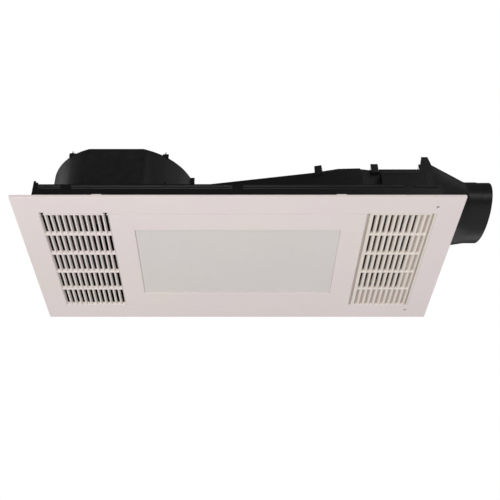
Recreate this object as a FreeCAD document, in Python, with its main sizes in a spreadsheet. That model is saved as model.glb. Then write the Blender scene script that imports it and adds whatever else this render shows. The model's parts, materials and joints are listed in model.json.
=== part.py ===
import FreeCAD, Part
import math
import os
import re
import Sketcher

# A ceiling fan heater with a light: panel below the ceiling, black housing above it.
# Frame: +X to the duct spigot, +Y away from the viewer, +Z up, origin in the ceiling plane.

V = FreeCAD.Vector
doc = FreeCAD.newDocument("fan_heater")

# Driving sizes in millimetres, degrees and counts.
SIZES = {
    # Panel and its inserts
    "panel_length": 640,
    "panel_width": 320,
    "panel_drop": 6,
    "panel_plate": 2,
    "panel_overlap_x": 26,
    "panel_overlap_y": 16,
    "rim_wall": 2.2,
    "rim_height": 4.8,
    "pad_width": 14,
    "pad_left_x": 198,
    "pad_right_x": 145,
    "inner_margin_x": 9,
    "inner_margin_y": 22,
    "insert_gap": 0.3,
    "lip_reach": 4,
    "lip_plate": 1.5,
    "lip_setback": 8,
    "clip_wall": 2,
    "clip_length": 16,
    "clip_rise": 3,
    "notch_depth": 3.4,
    "groove_notch_depth": 1.2,
    "hook_spacing": 200,
    "hook_length": 20,
    "hook_wall": 2,
    "hook_hold": 8,
    "hook_nose": 3,
    "hook_reach": 1.5,
    "panel_screw_inset_x": 10.2,
    "panel_screw_inset_y": 6.7,
    "panel_screw_radius": 1.25,
    "panel_screw_head": 2,
    "panel_screw_head_height": 2,
    "panel_screw_grip": 2.5,
    "panel_screw_bite": 14,
    "panel_boss_radius": 4,
    # Grilles
    "slot_pitch": 8.31,
    "slot_width": 6.2,
    "slot_flare": 1.4,
    "slot_columns": 12,
    "slot_rows": 5,
    "bar_width": 3.3,
    "grille_rim": 0.6,
    "grille_end": 1.85,
    "intake_depth": 4.8,
    "outlet_depth": 5.2,
    "outlet_inset": 9.0,
    "outlet_pitch": 8.48,
    "outlet_columns": 10,
    "open_columns": 8,
    "open_rows": 4,
    "blind_depth": 3.8,
    "groove_width": 3.5,
    "groove_depth": 3,
    "groove_left_rim": 0.6,
    "groove_right_rim": 2.6,
    # Light
    "window_margin_x": 34.3,
    "window_margin_y": 37.1,
    "diffuser_plate": 2.5,
    "diffuser_border": 6,
    "diffuser_recess": 1,
    "pan_height": 15.5,
    "pan_wall": 1,
    "pan_ear": 13,
    "pan_ear_length": 16,
    "pan_screw_inset": 6,
    "pan_screw_spacing": 120,
    "pan_boss_radius": 3.5,
    "light_screw_radius": 1.2,
    "light_screw_head": 3,
    "light_screw_head_height": 2,
    "light_screw_bite": 1.8,
    "led_rows": 3,
    "led_row_margin": 16.2,
    "led_columns": 9,
    "led_end": 20.5,
    "led_board_width": 18,
    "led_board_plate": 1.6,
    "led_board_margin": 17,
    "led_side": 5,
    "led_thick": 1.2,
    "driver_x": 20,
    "driver_y": 22,
    "driver_length": 110,
    "driver_width": 40,
    "driver_height": 14,
    "driver_ear": 9,
    # Tray
    "tray_height": 32,
    "tray_wall": 2,
    "flange_reach_x": 14,
    "flange_reach_y": 10,
    "flange_plate": 2,
    "ceiling_hole_inset": 44,
    "ceiling_hole_radius": 2.25,
    "screw_post_radius": 5.5,
    "rib_out": 3,
    "rib_low": 24,
    "rib_slope": 1.8,
    "rib_high": 28,
    "rib_gap": 15.5,
    "rib_gap_inset": 48,
    "rib_end_inset": 8,
    "knob_x": 104,
    "knob_radius": 3.5,
    "knob_height": 4.5,
    "knob_inset": 4,
    "nub_length": 7,
    "nub_height": 6,
    "wire_hole_radius": 7,
    # Fan casing
    "casing_height": 90,
    "casing_wall": 2,
    "scroll_trim": 5.5,
    "scroll_left_radius": 101,
    "scroll_left_shift": 26,
    "scroll_right_radius": 114,
    "scroll_right_inset": 113,
    "scroll_right_shift": 14,
    "scroll_far_radius": 110,
    "scroll_far_shift": 4,
    "tongue_angle": 10.7,
    "duct_shift": 25.5,
    "duct_width": 94,
    "duct_start_x": 205,
    "bulge_start_x": 118,
    "bulge_start_shift": 66.6,
    "bulge_full_x": 158,
    "bulge_end_x": 192,
    "bulge_full_out": 3.7,
    "bulge_out": 5,
    "bulge_step": 2.4,
    "bulge_foot_x": 211,
    "casing_end_inset": 12,
    "end_flange_plate": 6,
    "end_flange_reach": 14,
    "end_opening_margin": 4,
    "shoulder_drop": 13.3,
    "shoulder_lip_height": 6.2,
    "shoulder_lip": 1,
    "lid_plate": 2,
    "skirt_start_x": 222,
    "skirt_drop": 7,
    "lug_width": 9.7,
    "lug_in": 9,
    "lug_height": 5.3,
    "lug_left_angle": 232.6,
    "lug_right_angle": -52,
    "lug_tongue_angle": -17,
    "tongue_lug_out": 4,
    "tongue_lug_height": 2.4,
    "lug_pin_inset": 1.05,
    "lug_pin_radius": 0.8,
    "lug_pin_height": 3.7,
    "duct_lug_x": 128,
    "duct_lug_end_x": 215,
    "duct_lug_width": 11.6,
    "duct_lug_out": 6,
    "duct_lug_height": 8,
    "duct_lug_drop": 7,
    "lid_screw_radius": 1.5,
    "lid_screw_head": 2.4,
    "lid_screw_head_height": 2.2,
    "lid_screw_bite": 12,
    "lid_screw_inset": 4.5,
    "lid_boss_radius": 4,
    # Fan and motor
    "fan_left_inset": 130,
    "fan_shift": 18,
    "inlet_radius": 58,
    "inlet_flare": 8,
    "inlet_rise": 12,
    "inlet_wall": 2,
    "inlet_flange": 10,
    "impeller_radius": 80,
    "impeller_gap": 2,
    "impeller_clear": 6.5,
    "impeller_ring": 3,
    "impeller_skin": 2.5,
    "blade_depth": 14,
    "blade_wall": 1.2,
    "blade_count": 36,
    "blade_lean": 25,
    "dish_top_radius": 58,
    "hub_radius": 14,
    "hub_height": 12,
    "shaft_radius": 4,
    "shaft_fit": 0.05,
    "nut_height": 5,
    "nut_radius": 7,
    "motor_radius": 40,
    "motor_height": 30,
    "motor_wall": 2,
    "motor_to_hub": 4,
    "bearing_radius": 9,
    "bearing_height": 6,
    "stator_inner_radius": 24,
    "rotor_gap": 0.5,
    "core_height": 14,
    "bracket_plate": 2,
    "bracket_width": 24,
    "motor_screw_circle": 50,
    "motor_screw_radius": 2,
    "motor_screw_head": 4,
    "motor_screw_head_height": 2.5,
    "bush_radius": 7,
    "bush_height": 3.5,
    "hole_clearance": 0.25,
    # Heater
    "heater_wall": 1.5,
    "heater_gap": 0.5,
    "heater_right_extra": 11,
    "element_low": 6,
    "element_height": 14,
    "bar_count": 3,
    "ptc_width": 9,
    "end_cap_length": 5.5,
    "fin_wall": 0.5,
    "fin_pitch": 6,
    "neck_inset_left": 15.5,
    "neck_inset_right": 4,
    "neck_rise": 12,
    "neck_margin": 7,
    "cutout_radius": 8,
    "cutout_height": 7,
    "tab_length": 9,
    "tab_width": 6.3,
    "tab_plate": 0.8,
    # Damper
    "damper_hinge_inset": 6,
    "damper_axis_rise": 3,
    "damper_plate": 2.5,
    "damper_seat_gap": 0.3,
    "damper_side_gap": 1,
    "damper_overlap": 2.8,
    "damper_sleeve_radius": 5,
    "damper_shaft_radius": 3,
    "damper_bush_radius": 6,
    "damper_motor_radius": 13,
    "damper_motor_length": 22,
    "damper_motor_shift": 8,
    "damper_motor_ear": 5,
    "damper_ear_width": 8,
    "damper_socket": 9,
    # Adaptor and back-draft flap
    "adaptor_plate": 4,
    "adaptor_box": 12,
    "adaptor_taper": 57,
    "adaptor_wall": 2,
    "hopper_corner": 30,
    "spigot_radius": 48.25,
    "spigot_length": 19,
    "spigot_drop": 3.2,
    "spigot_lead": 0.8,
    "rim_reach": 11,
    "rim_lean_up": 10,
    "rim_lean_near": 7,
    "hanger_height": 15.4,
    "hanger_shift": 1.5,
    "hanger_base": 17,
    "hanger_tip": 10,
    "hanger_depth": 12,
    "flap_opening": 66,
    "flap_overlap": 3,
    "flap_plate": 2,
    "flap_gap": 0.3,
    "flap_seat_wall": 2,
    "flap_pin_radius": 1.5,
    "flap_sleeve_radius": 3,
    "flap_pin_drop": 7,
    "flap_ear": 3,
    "adaptor_screw_radius": 1.9,
    "adaptor_screw_head": 3.8,
    "adaptor_screw_head_height": 3,
    "adaptor_screw_inset": 7,
    # Terminal box
    "box_right_inset": 64,
    "box_far_inset": 10,
    "box_length": 138,
    "box_width": 70,
    "box_height": 38,
    "box_wall": 2,
    "cover_plate": 2,
    "cover_screw_radius": 1.5,
    "cover_screw_head": 3,
    "cover_screw_head_height": 2,
    "cover_screw_inset": 5,
    "cover_post_radius": 4,
    "cover_screw_bite": 10,
    "board_length": 70,
    "board_width": 48,
    "board_plate": 1.6,
    "board_rise": 6,
    "board_inset": 11,
    "terminal_length": 30,
    "terminal_width": 18,
    "terminal_height": 16,
    "terminal_ways": 4,
    "gland_bore": 6.5,
    "gland_radius": 10,
    "gland_nut_radius": 14,
    "gland_nut_length": 8,
    "gland_length": 12,
    "gland_inset": 24,
}

# Places worked out from the driving sizes.
PLACES = {
    "tray_x": "panel_length / 2 - panel_overlap_x",
    "tray_y": "panel_width / 2 - panel_overlap_y",
    "face_z": "-panel_drop",
    "back_z": "panel_plate - panel_drop",
    "rim_top_z": "rim_height - panel_drop",
    "inner_x": "tray_x - inner_margin_x",
    "inner_y": "tray_y - inner_margin_y",
    "lip_z": "back_z + lip_plate",
    "insert_x": "inner_x - insert_gap",
    "insert_y": "inner_y - insert_gap",
    "grille_width": "2 * grille_rim + (slot_columns - 1) * slot_pitch + slot_width",
    "grille_x": "insert_x - grille_width",
    "fascia_x": "grille_x - insert_gap",
    "clip_x": "(insert_x + grille_x) / 2",
    "row_pitch": "(2 * (insert_y - grille_end) + bar_width) / slot_rows",
    "slot_length": "row_pitch - bar_width",
    "slot_span_y": "(slot_rows - 1) * row_pitch",
    "slot_start_y": "-(slot_span_y + slot_length) / 2",
    "intake_span_x": "(slot_columns - 1) * slot_pitch",
    "intake_slot_x": "grille_rim - insert_x",
    "intake_top_z": "face_z + intake_depth",
    "outlet_top_z": "face_z + outlet_depth",
    "outlet_slot_x": "grille_x + outlet_inset",
    "outlet_span_x": "(outlet_columns - 1) * outlet_pitch",
    "open_span_x": "(open_columns - 1) * outlet_span_x / (outlet_columns - 1)",
    "open_span_y": "(open_rows - 1) * row_pitch",
    "groove_near_x": "grille_x + groove_left_rim",
    "groove_far_x": "insert_x - groove_right_rim - groove_width",
    "panel_screw_x": "tray_x - panel_screw_inset_x",
    "panel_screw_y": "tray_y - panel_screw_inset_y",
    "panel_screw_seat_z": "-panel_screw_grip",
    "hook_x": "tray_x - tray_wall - insert_gap",
    "window_x": "fascia_x - window_margin_x",
    "window_y": "insert_y - window_margin_y",
    "diffuser_x": "window_x + diffuser_border",
    "diffuser_y": "window_y + diffuser_border",
    "diffuser_top_z": "back_z + diffuser_plate",
    "pan_top_z": "diffuser_top_z + pan_height",
    "pan_ear_x": "diffuser_x + pan_ear",
    "pan_ear_z": "diffuser_top_z + pan_wall",
    "pan_screw_x": "pan_ear_x - pan_screw_inset",
    "board_under_z": "pan_top_z - pan_wall - led_board_plate",
    "led_row_pitch": "(2 * diffuser_y - led_row_margin) / led_rows",
    "led_pitch": "2 * (diffuser_x - led_board_margin - led_end) / (led_columns - 1)",
    "ceiling_x": "tray_x - ceiling_hole_inset",
    "ceiling_y": "tray_y + flange_reach_y / 2",
    "rib_gap_x": "tray_x - rib_gap_inset",
    "roof_z": "tray_height",
    "roof_under_z": "tray_height - tray_wall",
    "lid_top_z": "roof_z + casing_height",
    "lid_under_z": "lid_top_z - lid_plate",
    "duct_near_y": "-duct_shift - duct_width / 2",
    "duct_far_y": "duct_width / 2 - duct_shift",
    "casing_end_x": "tray_x - casing_end_inset",
    "flange_x": "casing_end_x + end_flange_plate",
    "fan_x": "fan_left_inset - tray_x",
    "fan_y": "-fan_shift",
    "inlet_top_z": "roof_under_z + inlet_rise",
    "impeller_low_z": "inlet_top_z + impeller_gap",
    "motor_top_z": "lid_under_z - bush_height - bracket_plate",
    "motor_low_z": "motor_top_z - motor_height",
    "impeller_top_z": "motor_top_z - impeller_clear",
    "dish_floor_z": "motor_low_z - motor_to_hub - impeller_skin",
    "hub_low_z": "dish_floor_z + impeller_skin - hub_height",
    "core_low_z": "motor_low_z + (motor_height - core_height) / 2",
    "heater_x": "outlet_slot_x - heater_wall",
    "heater_end_x": "outlet_slot_x + open_span_x + slot_width + heater_right_extra + heater_wall",
    "heater_near_y": "slot_start_y - heater_wall",
    "heater_far_y": "slot_start_y + open_span_y + slot_length + heater_wall",
    "heater_low_z": "outlet_top_z + heater_gap",
    "element_z": "heater_low_z + element_low",
    "neck_x": "heater_x + neck_inset_left",
    "neck_end_x": "heater_end_x - neck_inset_right",
    "neck_near_y": "duct_near_y + casing_wall + neck_margin",
    "neck_far_y": "duct_far_y - casing_wall - neck_margin",
    "neck_top_z": "roof_z + neck_rise",
    "damper_x": "casing_end_x - damper_hinge_inset",
    "damper_tip_x": "neck_x - damper_overlap",
    "damper_z": "neck_top_z + damper_axis_rise",
    "damper_motor_x": "damper_x - damper_motor_shift",
    "spigot_z": "roof_z + casing_height / 2 - spigot_drop",
    "spigot_y": "-duct_shift",
    "taper_x": "flange_x + adaptor_box",
    "round_x": "taper_x + adaptor_taper",
    "lead_x": "round_x + spigot_length",
    "flap_low_z": "spigot_z - flap_opening / 2 - flap_overlap",
    "flap_pin_z": "lid_top_z - flap_pin_drop",
    "flap_pin_x": "flange_x + adaptor_plate + flap_gap + flap_sleeve_radius",
    "box_x": "tray_x - box_right_inset - box_length",
    "box_y": "tray_y - box_far_inset - box_width",
    "box_top_z": "roof_z + box_height",
    "gland_y": "box_y + box_width",
    "gland_x": "box_x + box_length - gland_inset",
    "gland_z": "roof_z + box_height / 2",
}

sizes = doc.addObject("Spreadsheet::Sheet", "sizes")
places = doc.addObject("Spreadsheet::Sheet", "places")
nodes = []


def expression(words):
    """An expression in which each named value points at its cell."""

    def cell(match):
        word = match.group()
        if word in SIZES:
            return "sizes." + word
        if word in PLACES:
            return "places." + word
        return word

    return re.sub(r"[a-z]+(?:_[a-z]+)*", cell, words)


def fill_sheets():
    for row, (name, number) in enumerate(SIZES.items(), start=1):
        sizes.set(f"A{row}", name)
        sizes.set(f"B{row}", str(number))
        sizes.setAlias(f"B{row}", name)
    for row, (name, words) in enumerate(PLACES.items(), start=1):
        places.set(f"A{row}", name)
        places.setAlias(f"B{row}", name)
    doc.recompute()
    for row, words in enumerate(PLACES.values(), start=1):
        places.set(f"B{row}", "=" + expression(words))
    doc.recompute()


def size(name):
    """The present number of a driving size or a place."""
    sheet = sizes if name in SIZES else places
    return float(sheet.get(name))


def bind(thing, **words):
    for prop, text in words.items():
        thing.setExpression(prop.replace("__", "."), expression(text))


def node(name, thing):
    """Name a finished sub-part."""
    thing.Label = name
    nodes.append((name, thing))
    return thing


def block(name, x, y, z):
    """A box between low and high expressions on each axis."""
    box = doc.addObject("Part::Box", name)
    bind(box, Length=f"({x[1]}) - ({x[0]})", Width=f"({y[1]}) - ({y[0]})", Height=f"({z[1]}) - ({z[0]})")
    bind(box, Placement__Base__x=x[0], Placement__Base__y=y[0], Placement__Base__z=z[0])
    return box


AXIS_TURN = {
    "x": FreeCAD.Rotation(V(0, 1, 0), 90),
    "y": FreeCAD.Rotation(V(1, 0, 0), -90),
    "z": FreeCAD.Rotation(),
}


def place_round(solid, at, axis):
    solid.Placement = FreeCAD.Placement(V(), AXIS_TURN[axis])
    bind(solid, Placement__Base__x=at[0], Placement__Base__y=at[1], Placement__Base__z=at[2])
    return solid


def rod(name, at, radius, length, axis="z"):
    """A cylinder that starts at a point and runs along an axis."""
    solid = doc.addObject("Part::Cylinder", name)
    bind(solid, Radius=radius, Height=length)
    return place_round(solid, at, axis)


def cone(name, at, radius, end_radius, length, axis="z"):
    solid = doc.addObject("Part::Cone", name)
    bind(solid, Radius1=radius, Radius2=end_radius, Height=length)
    return place_round(solid, at, axis)


def hexagon(name, at, radius, length, axis="z"):
    solid = doc.addObject("Part::Prism", name)
    solid.Polygon = 6
    bind(solid, Circumradius=radius, Height=length)
    return place_round(solid, at, axis)


def wedge(name, y, low_x, low_z, high_x, high_z):
    """A solid whose rectangle at the low y changes to another at the high y."""
    solid = doc.addObject("Part::Wedge", name)
    bind(solid, Ymin=y[0], Ymax=y[1])
    bind(solid, Xmin=low_x[0], Xmax=low_x[1], Zmin=low_z[0], Zmax=low_z[1])
    bind(solid, X2min=high_x[0], X2max=high_x[1], Z2min=high_z[0], Z2max=high_z[1])
    return solid


def fuse(name, *things):
    joined = doc.addObject("Part::MultiFuse", name)
    joined.Shapes = list(things)
    return joined


def cut(name, base, *tools):
    result = doc.addObject("Part::Cut", name)
    result.Base = base
    result.Tool = tools[0] if len(tools) == 1 else fuse(name + "_tools", *tools)
    return result


def group(name, things):
    """Separate like solids in one sub-part."""
    compound = doc.addObject("Part::Compound", name)
    compound.Links = list(things)
    return compound


def tube(name, at, radius, bore, length, axis="z"):
    outer = rod(name + "_outer", at, radius, length, axis)
    inner = rod(name + "_bore", at, bore, length, axis)
    return cut(name + "_tube", outer, inner)


def origin_feature(body, role):
    return [feature for feature in body.Origin.OriginFeatures if feature.Role == role][0]


def new_body(name):
    return doc.addObject("PartDesign::Body", name + "_body")


def attach(body, sketch, x, y, z):
    sketch.AttachmentSupport = (origin_feature(body, "XY_Plane"), [""])
    sketch.MapMode = "FlatFace"
    bind(sketch, AttachmentOffset__Base__x=x, AttachmentOffset__Base__y=y, AttachmentOffset__Base__z=z)


def rectangle(body, name, x, y, z):
    """A sketched rectangle at height z between low and high x and y."""
    sketch = body.newObject("Sketcher::SketchObject", name)
    attach(body, sketch, x[0], y[0], z)
    corners = [V(0, 0, 0), V(1, 0, 0), V(1, 1, 0), V(0, 1, 0)]
    for index in range(4):
        sketch.addGeometry(Part.LineSegment(corners[index], corners[(index + 1) % 4]))
    for index in range(4):
        sketch.addConstraint(Sketcher.Constraint("Coincident", index, 2, (index + 1) % 4, 1))
    for index in (0, 2):
        sketch.addConstraint(Sketcher.Constraint("Horizontal", index))
        sketch.addConstraint(Sketcher.Constraint("Vertical", index + 1))
    sketch.addConstraint(Sketcher.Constraint("Coincident", 0, 1, -1, 1))
    length = sketch.addConstraint(Sketcher.Constraint("DistanceX", 0, 1, 0, 2, 1.0))
    width = sketch.addConstraint(Sketcher.Constraint("DistanceY", 1, 1, 1, 2, 1.0))
    sketch.setExpression(f"Constraints[{length}]", expression(f"({x[1]}) - ({x[0]})"))
    sketch.setExpression(f"Constraints[{width}]", expression(f"({y[1]}) - ({y[0]})"))
    return sketch


def circle(body, name, at, radius, z):
    sketch = body.newObject("Sketcher::SketchObject", name)
    attach(body, sketch, at[0], at[1], z)
    sketch.addGeometry(Part.Circle(V(), V(0, 0, 1), 1.0))
    sketch.addConstraint(Sketcher.Constraint("Coincident", 0, 3, -1, 1))
    limit = sketch.addConstraint(Sketcher.Constraint("Radius", 0, 1.0))
    sketch.setExpression(f"Constraints[{limit}]", expression(radius))
    return sketch


def raise_from(body, name, sketch, z):
    pad = body.newObject("PartDesign::Pad", name)
    pad.Profile = sketch
    bind(pad, Length=f"({z[1]}) - ({z[0]})")
    body.Tip = pad
    return pad


def sink_from(body, name, sketch, z):
    pocket = body.newObject("PartDesign::Pocket", name)
    pocket.Profile = sketch
    bind(pocket, Length=f"({z[1]}) - ({z[0]})")
    body.Tip = pocket
    return pocket


def cut_flared(body, name, x, y, z):
    """A pocket that opens out towards the face by the slots' flare on every side."""
    inner_x = (f"{x[0]} + slot_flare", f"{x[1]} - slot_flare")
    inner_y = (f"{y[0]} + slot_flare", f"{y[1]} - slot_flare")
    pocket = cut_slab(body, name, inner_x, inner_y, z)
    bind(pocket, TaperAngle=f"atan(slot_flare / (({z[1]}) - ({z[0]})))")
    return pocket


def add_slab(body, name, x, y, z):
    return raise_from(body, name, rectangle(body, name + "_sketch", x, y, z[0]), z)


def cut_slab(body, name, x, y, z):
    return sink_from(body, name, rectangle(body, name + "_sketch", x, y, z[1]), z)


def add_disc(body, name, at, radius, z):
    return raise_from(body, name, circle(body, name + "_sketch", at, radius, z[0]), z)


def cut_disc(body, name, at, radius, z):
    return sink_from(body, name, circle(body, name + "_sketch", at, radius, z[1]), z)


def repeat_grid(body, name, feature, span_x, count_x, span_y, count_y):
    """Copies of a feature in columns along X and rows along Y."""
    doc.recompute()
    pattern = body.newObject("PartDesign::LinearPattern", name)
    pattern.Originals = [feature]
    pattern.Direction = (feature.Profile[0], ["H_Axis"])
    pattern.Direction2 = (feature.Profile[0], ["V_Axis"])
    bind(pattern, Length=span_x, Occurrences=count_x, Length2=span_y, Occurrences2=count_y)
    body.Tip = pattern
    return pattern


def shape_node(name, shape):
    """A sub-part whose shape is worked out from the sheets."""
    thing = doc.addObject("Part::Feature", name + "_shape")
    thing.Shape = shape
    return node(name, thing)


def both(words):
    """The low and high side of a size that is centred on zero."""
    return (f"-({words})", words)


def span(centre, length):
    return (f"({centre}) - ({length}) / 2", f"({centre}) + ({length}) / 2")


def solid_box(x, y, z):
    """A plain box shape between numbers."""
    return Part.makeBox(x[1] - x[0], y[1] - y[0], z[1] - z[0], V(x[0], y[0], z[0]))


NEAR_AND_FAR = ((-1, "near"), (1, "far"))


def panel_frame():
    """Outer border of the panel: a plate with an upturned rim, clips, hooks and screw bosses."""
    body = new_body("panel_frame")
    add_slab(body, "frame_plate", both("panel_length / 2"), both("panel_width / 2"), ("face_z", "back_z"))
    add_slab(body, "frame_rim", both("panel_length / 2"), both("panel_width / 2"), ("back_z", "rim_top_z"))
    inside = both("panel_length / 2 - rim_wall"), both("panel_width / 2 - rim_wall")
    cut_slab(body, "frame_hollow", *inside, ("back_z", "rim_top_z"))
    cut_slab(body, "frame_opening", both("inner_x"), both("inner_y"), ("face_z", "back_z"))
    notches = {
        "intake_first": ("intake_slot_x", "slot_width", "notch_depth"),
        "intake_last": ("intake_slot_x + intake_span_x", "slot_width", "notch_depth"),
        "outlet_first": ("groove_near_x", "groove_width", "groove_notch_depth"),
        "outlet_last": ("groove_far_x", "groove_width", "groove_notch_depth"),
    }
    for name, (start, width, depth) in notches.items():
        x = (start, f"{start} + {width}")
        cut_slab(body, name + "_notch", x, (f"-inner_y - {depth}", "-inner_y"), ("face_z", "back_z"))
    for side, side_name in NEAR_AND_FAR:
        frame_pads(body, side, side_name)
        frame_clips(body, side, side_name)
        frame_screw_boss(body, side, side_name)
        frame_hook(body, side, side_name)
    return node("panel_frame", body)


def across(side, low, high):
    """A low-to-high pair on the near or far side of the centre line."""
    return (low, high) if side > 0 else (f"-({high})", f"-({low})")


def frame_pads(body, side, side_name):
    y = across(side, "panel_width / 2 - rim_wall", "panel_width / 2")
    for name, centre in (("left", "-pad_left_x"), ("right", "pad_right_x")):
        add_slab(body, f"{side_name}_{name}_pad", span(centre, "pad_width"), y, ("rim_top_z", "0"))


def frame_clips(body, side, side_name):
    post_low = "inner_y + lip_reach + insert_gap"
    for name, centre in (("left", "-clip_x"), ("middle", "0"), ("right", "clip_x")):
        x = span(centre, "clip_length")
        post = across(side, post_low, f"{post_low} + clip_wall")
        add_slab(body, f"{side_name}_{name}_clip", x, post, ("back_z", "back_z + clip_rise"))
        nose = across(side, f"{post_low} - clip_wall", f"{post_low} + clip_wall / 2")
        z = ("lip_z + insert_gap", "back_z + clip_rise")
        add_slab(body, f"{side_name}_{name}_clip_nose", x, nose, z)


def frame_screw_boss(body, side, side_name):
    at = ("panel_screw_x", f"{side} * panel_screw_y")
    add_disc(body, f"{side_name}_boss", at, "panel_boss_radius", ("back_z", "0"))
    head_room = "panel_screw_head + insert_gap"
    cut_disc(body, f"{side_name}_head_hole", at, head_room, ("face_z", "panel_screw_seat_z"))
    shank_room = "panel_screw_radius + hole_clearance"
    cut_disc(body, f"{side_name}_shank_hole", at, shank_room, ("panel_screw_seat_z", "0"))


def frame_hook(body, side, side_name):
    y = span(f"{side} * hook_spacing / 2", "hook_length")
    top = "hook_hold + hook_nose"
    add_slab(body, f"{side_name}_hook", ("-hook_x", "hook_wall - hook_x"), y, ("back_z", top))
    nose = ("-tray_x - hook_reach", "hook_wall / 2 - hook_x")
    add_slab(body, f"{side_name}_hook_nose", nose, y, ("hook_hold", top))


def center_fascia():
    """Middle plate of the panel with the light window."""
    body = new_body("center_fascia")
    add_slab(body, "fascia_plate", both("fascia_x"), both("insert_y"), ("face_z", "back_z"))
    for side, side_name in NEAR_AND_FAR:
        y = across(side, "insert_y - lip_setback", "inner_y + lip_reach")
        add_slab(body, f"fascia_{side_name}_lip", both("fascia_x - lip_setback"), y, ("back_z", "lip_z"))
        for end, end_name in ((-1, "left"), (1, "right")):
            at = (f"{end} * pan_screw_x", f"{side} * pan_screw_spacing / 2")
            name = f"fascia_{side_name}_{end_name}"
            add_disc(body, name + "_boss", at, "pan_boss_radius", ("back_z", "diffuser_top_z"))
            hole = "light_screw_radius + hole_clearance"
            bottom = "diffuser_top_z - light_screw_bite - insert_gap"
            cut_disc(body, name + "_hole", at, hole, (bottom, "diffuser_top_z"))
    cut_slab(body, "window", both("window_x"), both("window_y"), ("face_z", "back_z"))
    return node("center_fascia", body)


def grille_lips(body, name, end_x, side_x):
    """Rear lips that rest on the back of the panel frame: one at the end and two at the sides."""
    add_slab(body, name + "_end_lip", end_x, both("insert_y - lip_setback"), ("back_z", "lip_z"))
    for side, side_name in NEAR_AND_FAR:
        y = across(side, "insert_y - grille_rim", "inner_y + lip_reach")
        add_slab(body, f"{name}_{side_name}_lip", side_x, y, ("back_z", "lip_z"))


def intake_grille():
    """Left grille: every slot goes right through to the dark plenum."""
    body = new_body("intake_grille")
    add_slab(body, "intake_block", ("-insert_x", "-grille_x"), both("insert_y"), ("face_z", "intake_top_z"))
    slot_x = ("intake_slot_x", "intake_slot_x + slot_width")
    slot_y = ("slot_start_y", "slot_start_y + slot_length")
    slot = cut_flared(body, "intake_slot", slot_x, slot_y, ("face_z", "intake_top_z"))
    repeat_grid(body, "intake_slots", slot, "intake_span_x", "slot_columns", "slot_span_y", "slot_rows")
    key_y = ("-insert_y", "slot_start_y + slot_flare")
    key_z = ("face_z", "intake_top_z")
    for name, start in (("first", "intake_slot_x"), ("last", "intake_slot_x + intake_span_x")):
        key_x = (f"{start} + slot_flare", f"{start} + slot_width - slot_flare")
        cut_slab(body, name + "_key", key_x, key_y, key_z)
    end_x = ("-inner_x - lip_reach", "grille_rim - insert_x")
    side_x = ("lip_setback - insert_x", "-grille_x - lip_setback")
    grille_lips(body, "intake", end_x, side_x)
    return node("intake_grille", body)


def outlet_grille():
    """Right grille: blind slots everywhere, opened where the heater blows through."""
    body = new_body("outlet_grille")
    add_slab(body, "outlet_block", ("grille_x", "insert_x"), both("insert_y"), ("face_z", "outlet_top_z"))
    slot_x = ("outlet_slot_x", "outlet_slot_x + slot_width")
    slot_y = ("slot_start_y", "slot_start_y + slot_length")
    floor_z = "face_z + blind_depth"
    blind = cut_flared(body, "blind_slot", slot_x, slot_y, ("face_z", floor_z))
    repeat_grid(body, "blind_slots", blind, "outlet_span_x", "outlet_columns", "slot_span_y", "slot_rows")
    open_x = ("outlet_slot_x + slot_flare", "outlet_slot_x + slot_width - slot_flare")
    open_y = ("slot_start_y + slot_flare", "slot_start_y + slot_length - slot_flare")
    through = cut_slab(body, "open_slot", open_x, open_y, (floor_z, "outlet_top_z"))
    repeat_grid(body, "open_slots", through, "open_span_x", "open_columns", "open_span_y", "open_rows")
    for name, start in (("left", "groove_near_x"), ("right", "groove_far_x")):
        x = (start, f"{start} + groove_width")
        y = ("-insert_y", "insert_y - grille_rim")
        cut_slab(body, name + "_groove", x, y, ("face_z", "face_z + groove_depth"))
    end_x = ("insert_x - grille_rim", "inner_x + lip_reach")
    side_x = ("grille_x + lip_setback", "insert_x - lip_setback")
    grille_lips(body, "outlet", end_x, side_x)
    return node("outlet_grille", body)


def light_diffuser():
    plate = block("diffuser_sheet", both("diffuser_x"), both("diffuser_y"), ("back_z", "diffuser_top_z"))
    raised_x = both("window_x - insert_gap")
    raised_y = both("window_y - insert_gap")
    raised = block("diffuser_face", raised_x, raised_y, ("face_z + diffuser_recess", "back_z"))
    return node("light_diffuser", fuse("diffuser", plate, raised))


def pan_screw_places():
    for end in (-1, 1):
        for side in (-1, 1):
            name = f"{end + 1}_{side + 1}"
            yield name, (f"{end} * pan_screw_x", f"{side} * pan_screw_spacing / 2")


def light_pan():
    """Shallow metal pan behind the diffuser, with four screw ears."""
    outer = block("pan_outer", both("diffuser_x"), both("diffuser_y"), ("diffuser_top_z", "pan_top_z"))
    solids = [outer]
    holes = []
    inner_x = both("diffuser_x - pan_wall")
    inner_y = both("diffuser_y - pan_wall")
    holes.append(block("pan_inner", inner_x, inner_y, ("diffuser_top_z", "pan_top_z - pan_wall")))
    for side, side_name in NEAR_AND_FAR:
        y = span(f"{side} * pan_screw_spacing / 2", "pan_ear_length")
        solids.append(block(f"pan_{side_name}_ears", both("pan_ear_x"), y, ("diffuser_top_z", "pan_ear_z")))
    for name, (x, y) in pan_screw_places():
        radius = "light_screw_radius + hole_clearance"
        holes.append(rod("pan_hole_" + name, (x, y, "diffuser_top_z"), radius, "pan_wall"))
    return node("light_pan", cut("pan", fuse("pan_shell", *solids), *holes))


def light_screws():
    screws = []
    for name, (x, y) in pan_screw_places():
        head = rod("pan_head_" + name, (x, y, "pan_ear_z"), "light_screw_head", "light_screw_head_height")
        low = "diffuser_top_z - light_screw_bite"
        shank = rod("pan_shank_" + name, (x, y, low), "light_screw_radius", "light_screw_bite + pan_wall")
        screws.append(fuse("pan_screw_" + name, head, shank))
    return node("light_screws", group("pan_screw_set", screws))


def led_row_y(row):
    return f"({row} - (led_rows - 1) / 2) * led_row_pitch"


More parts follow.
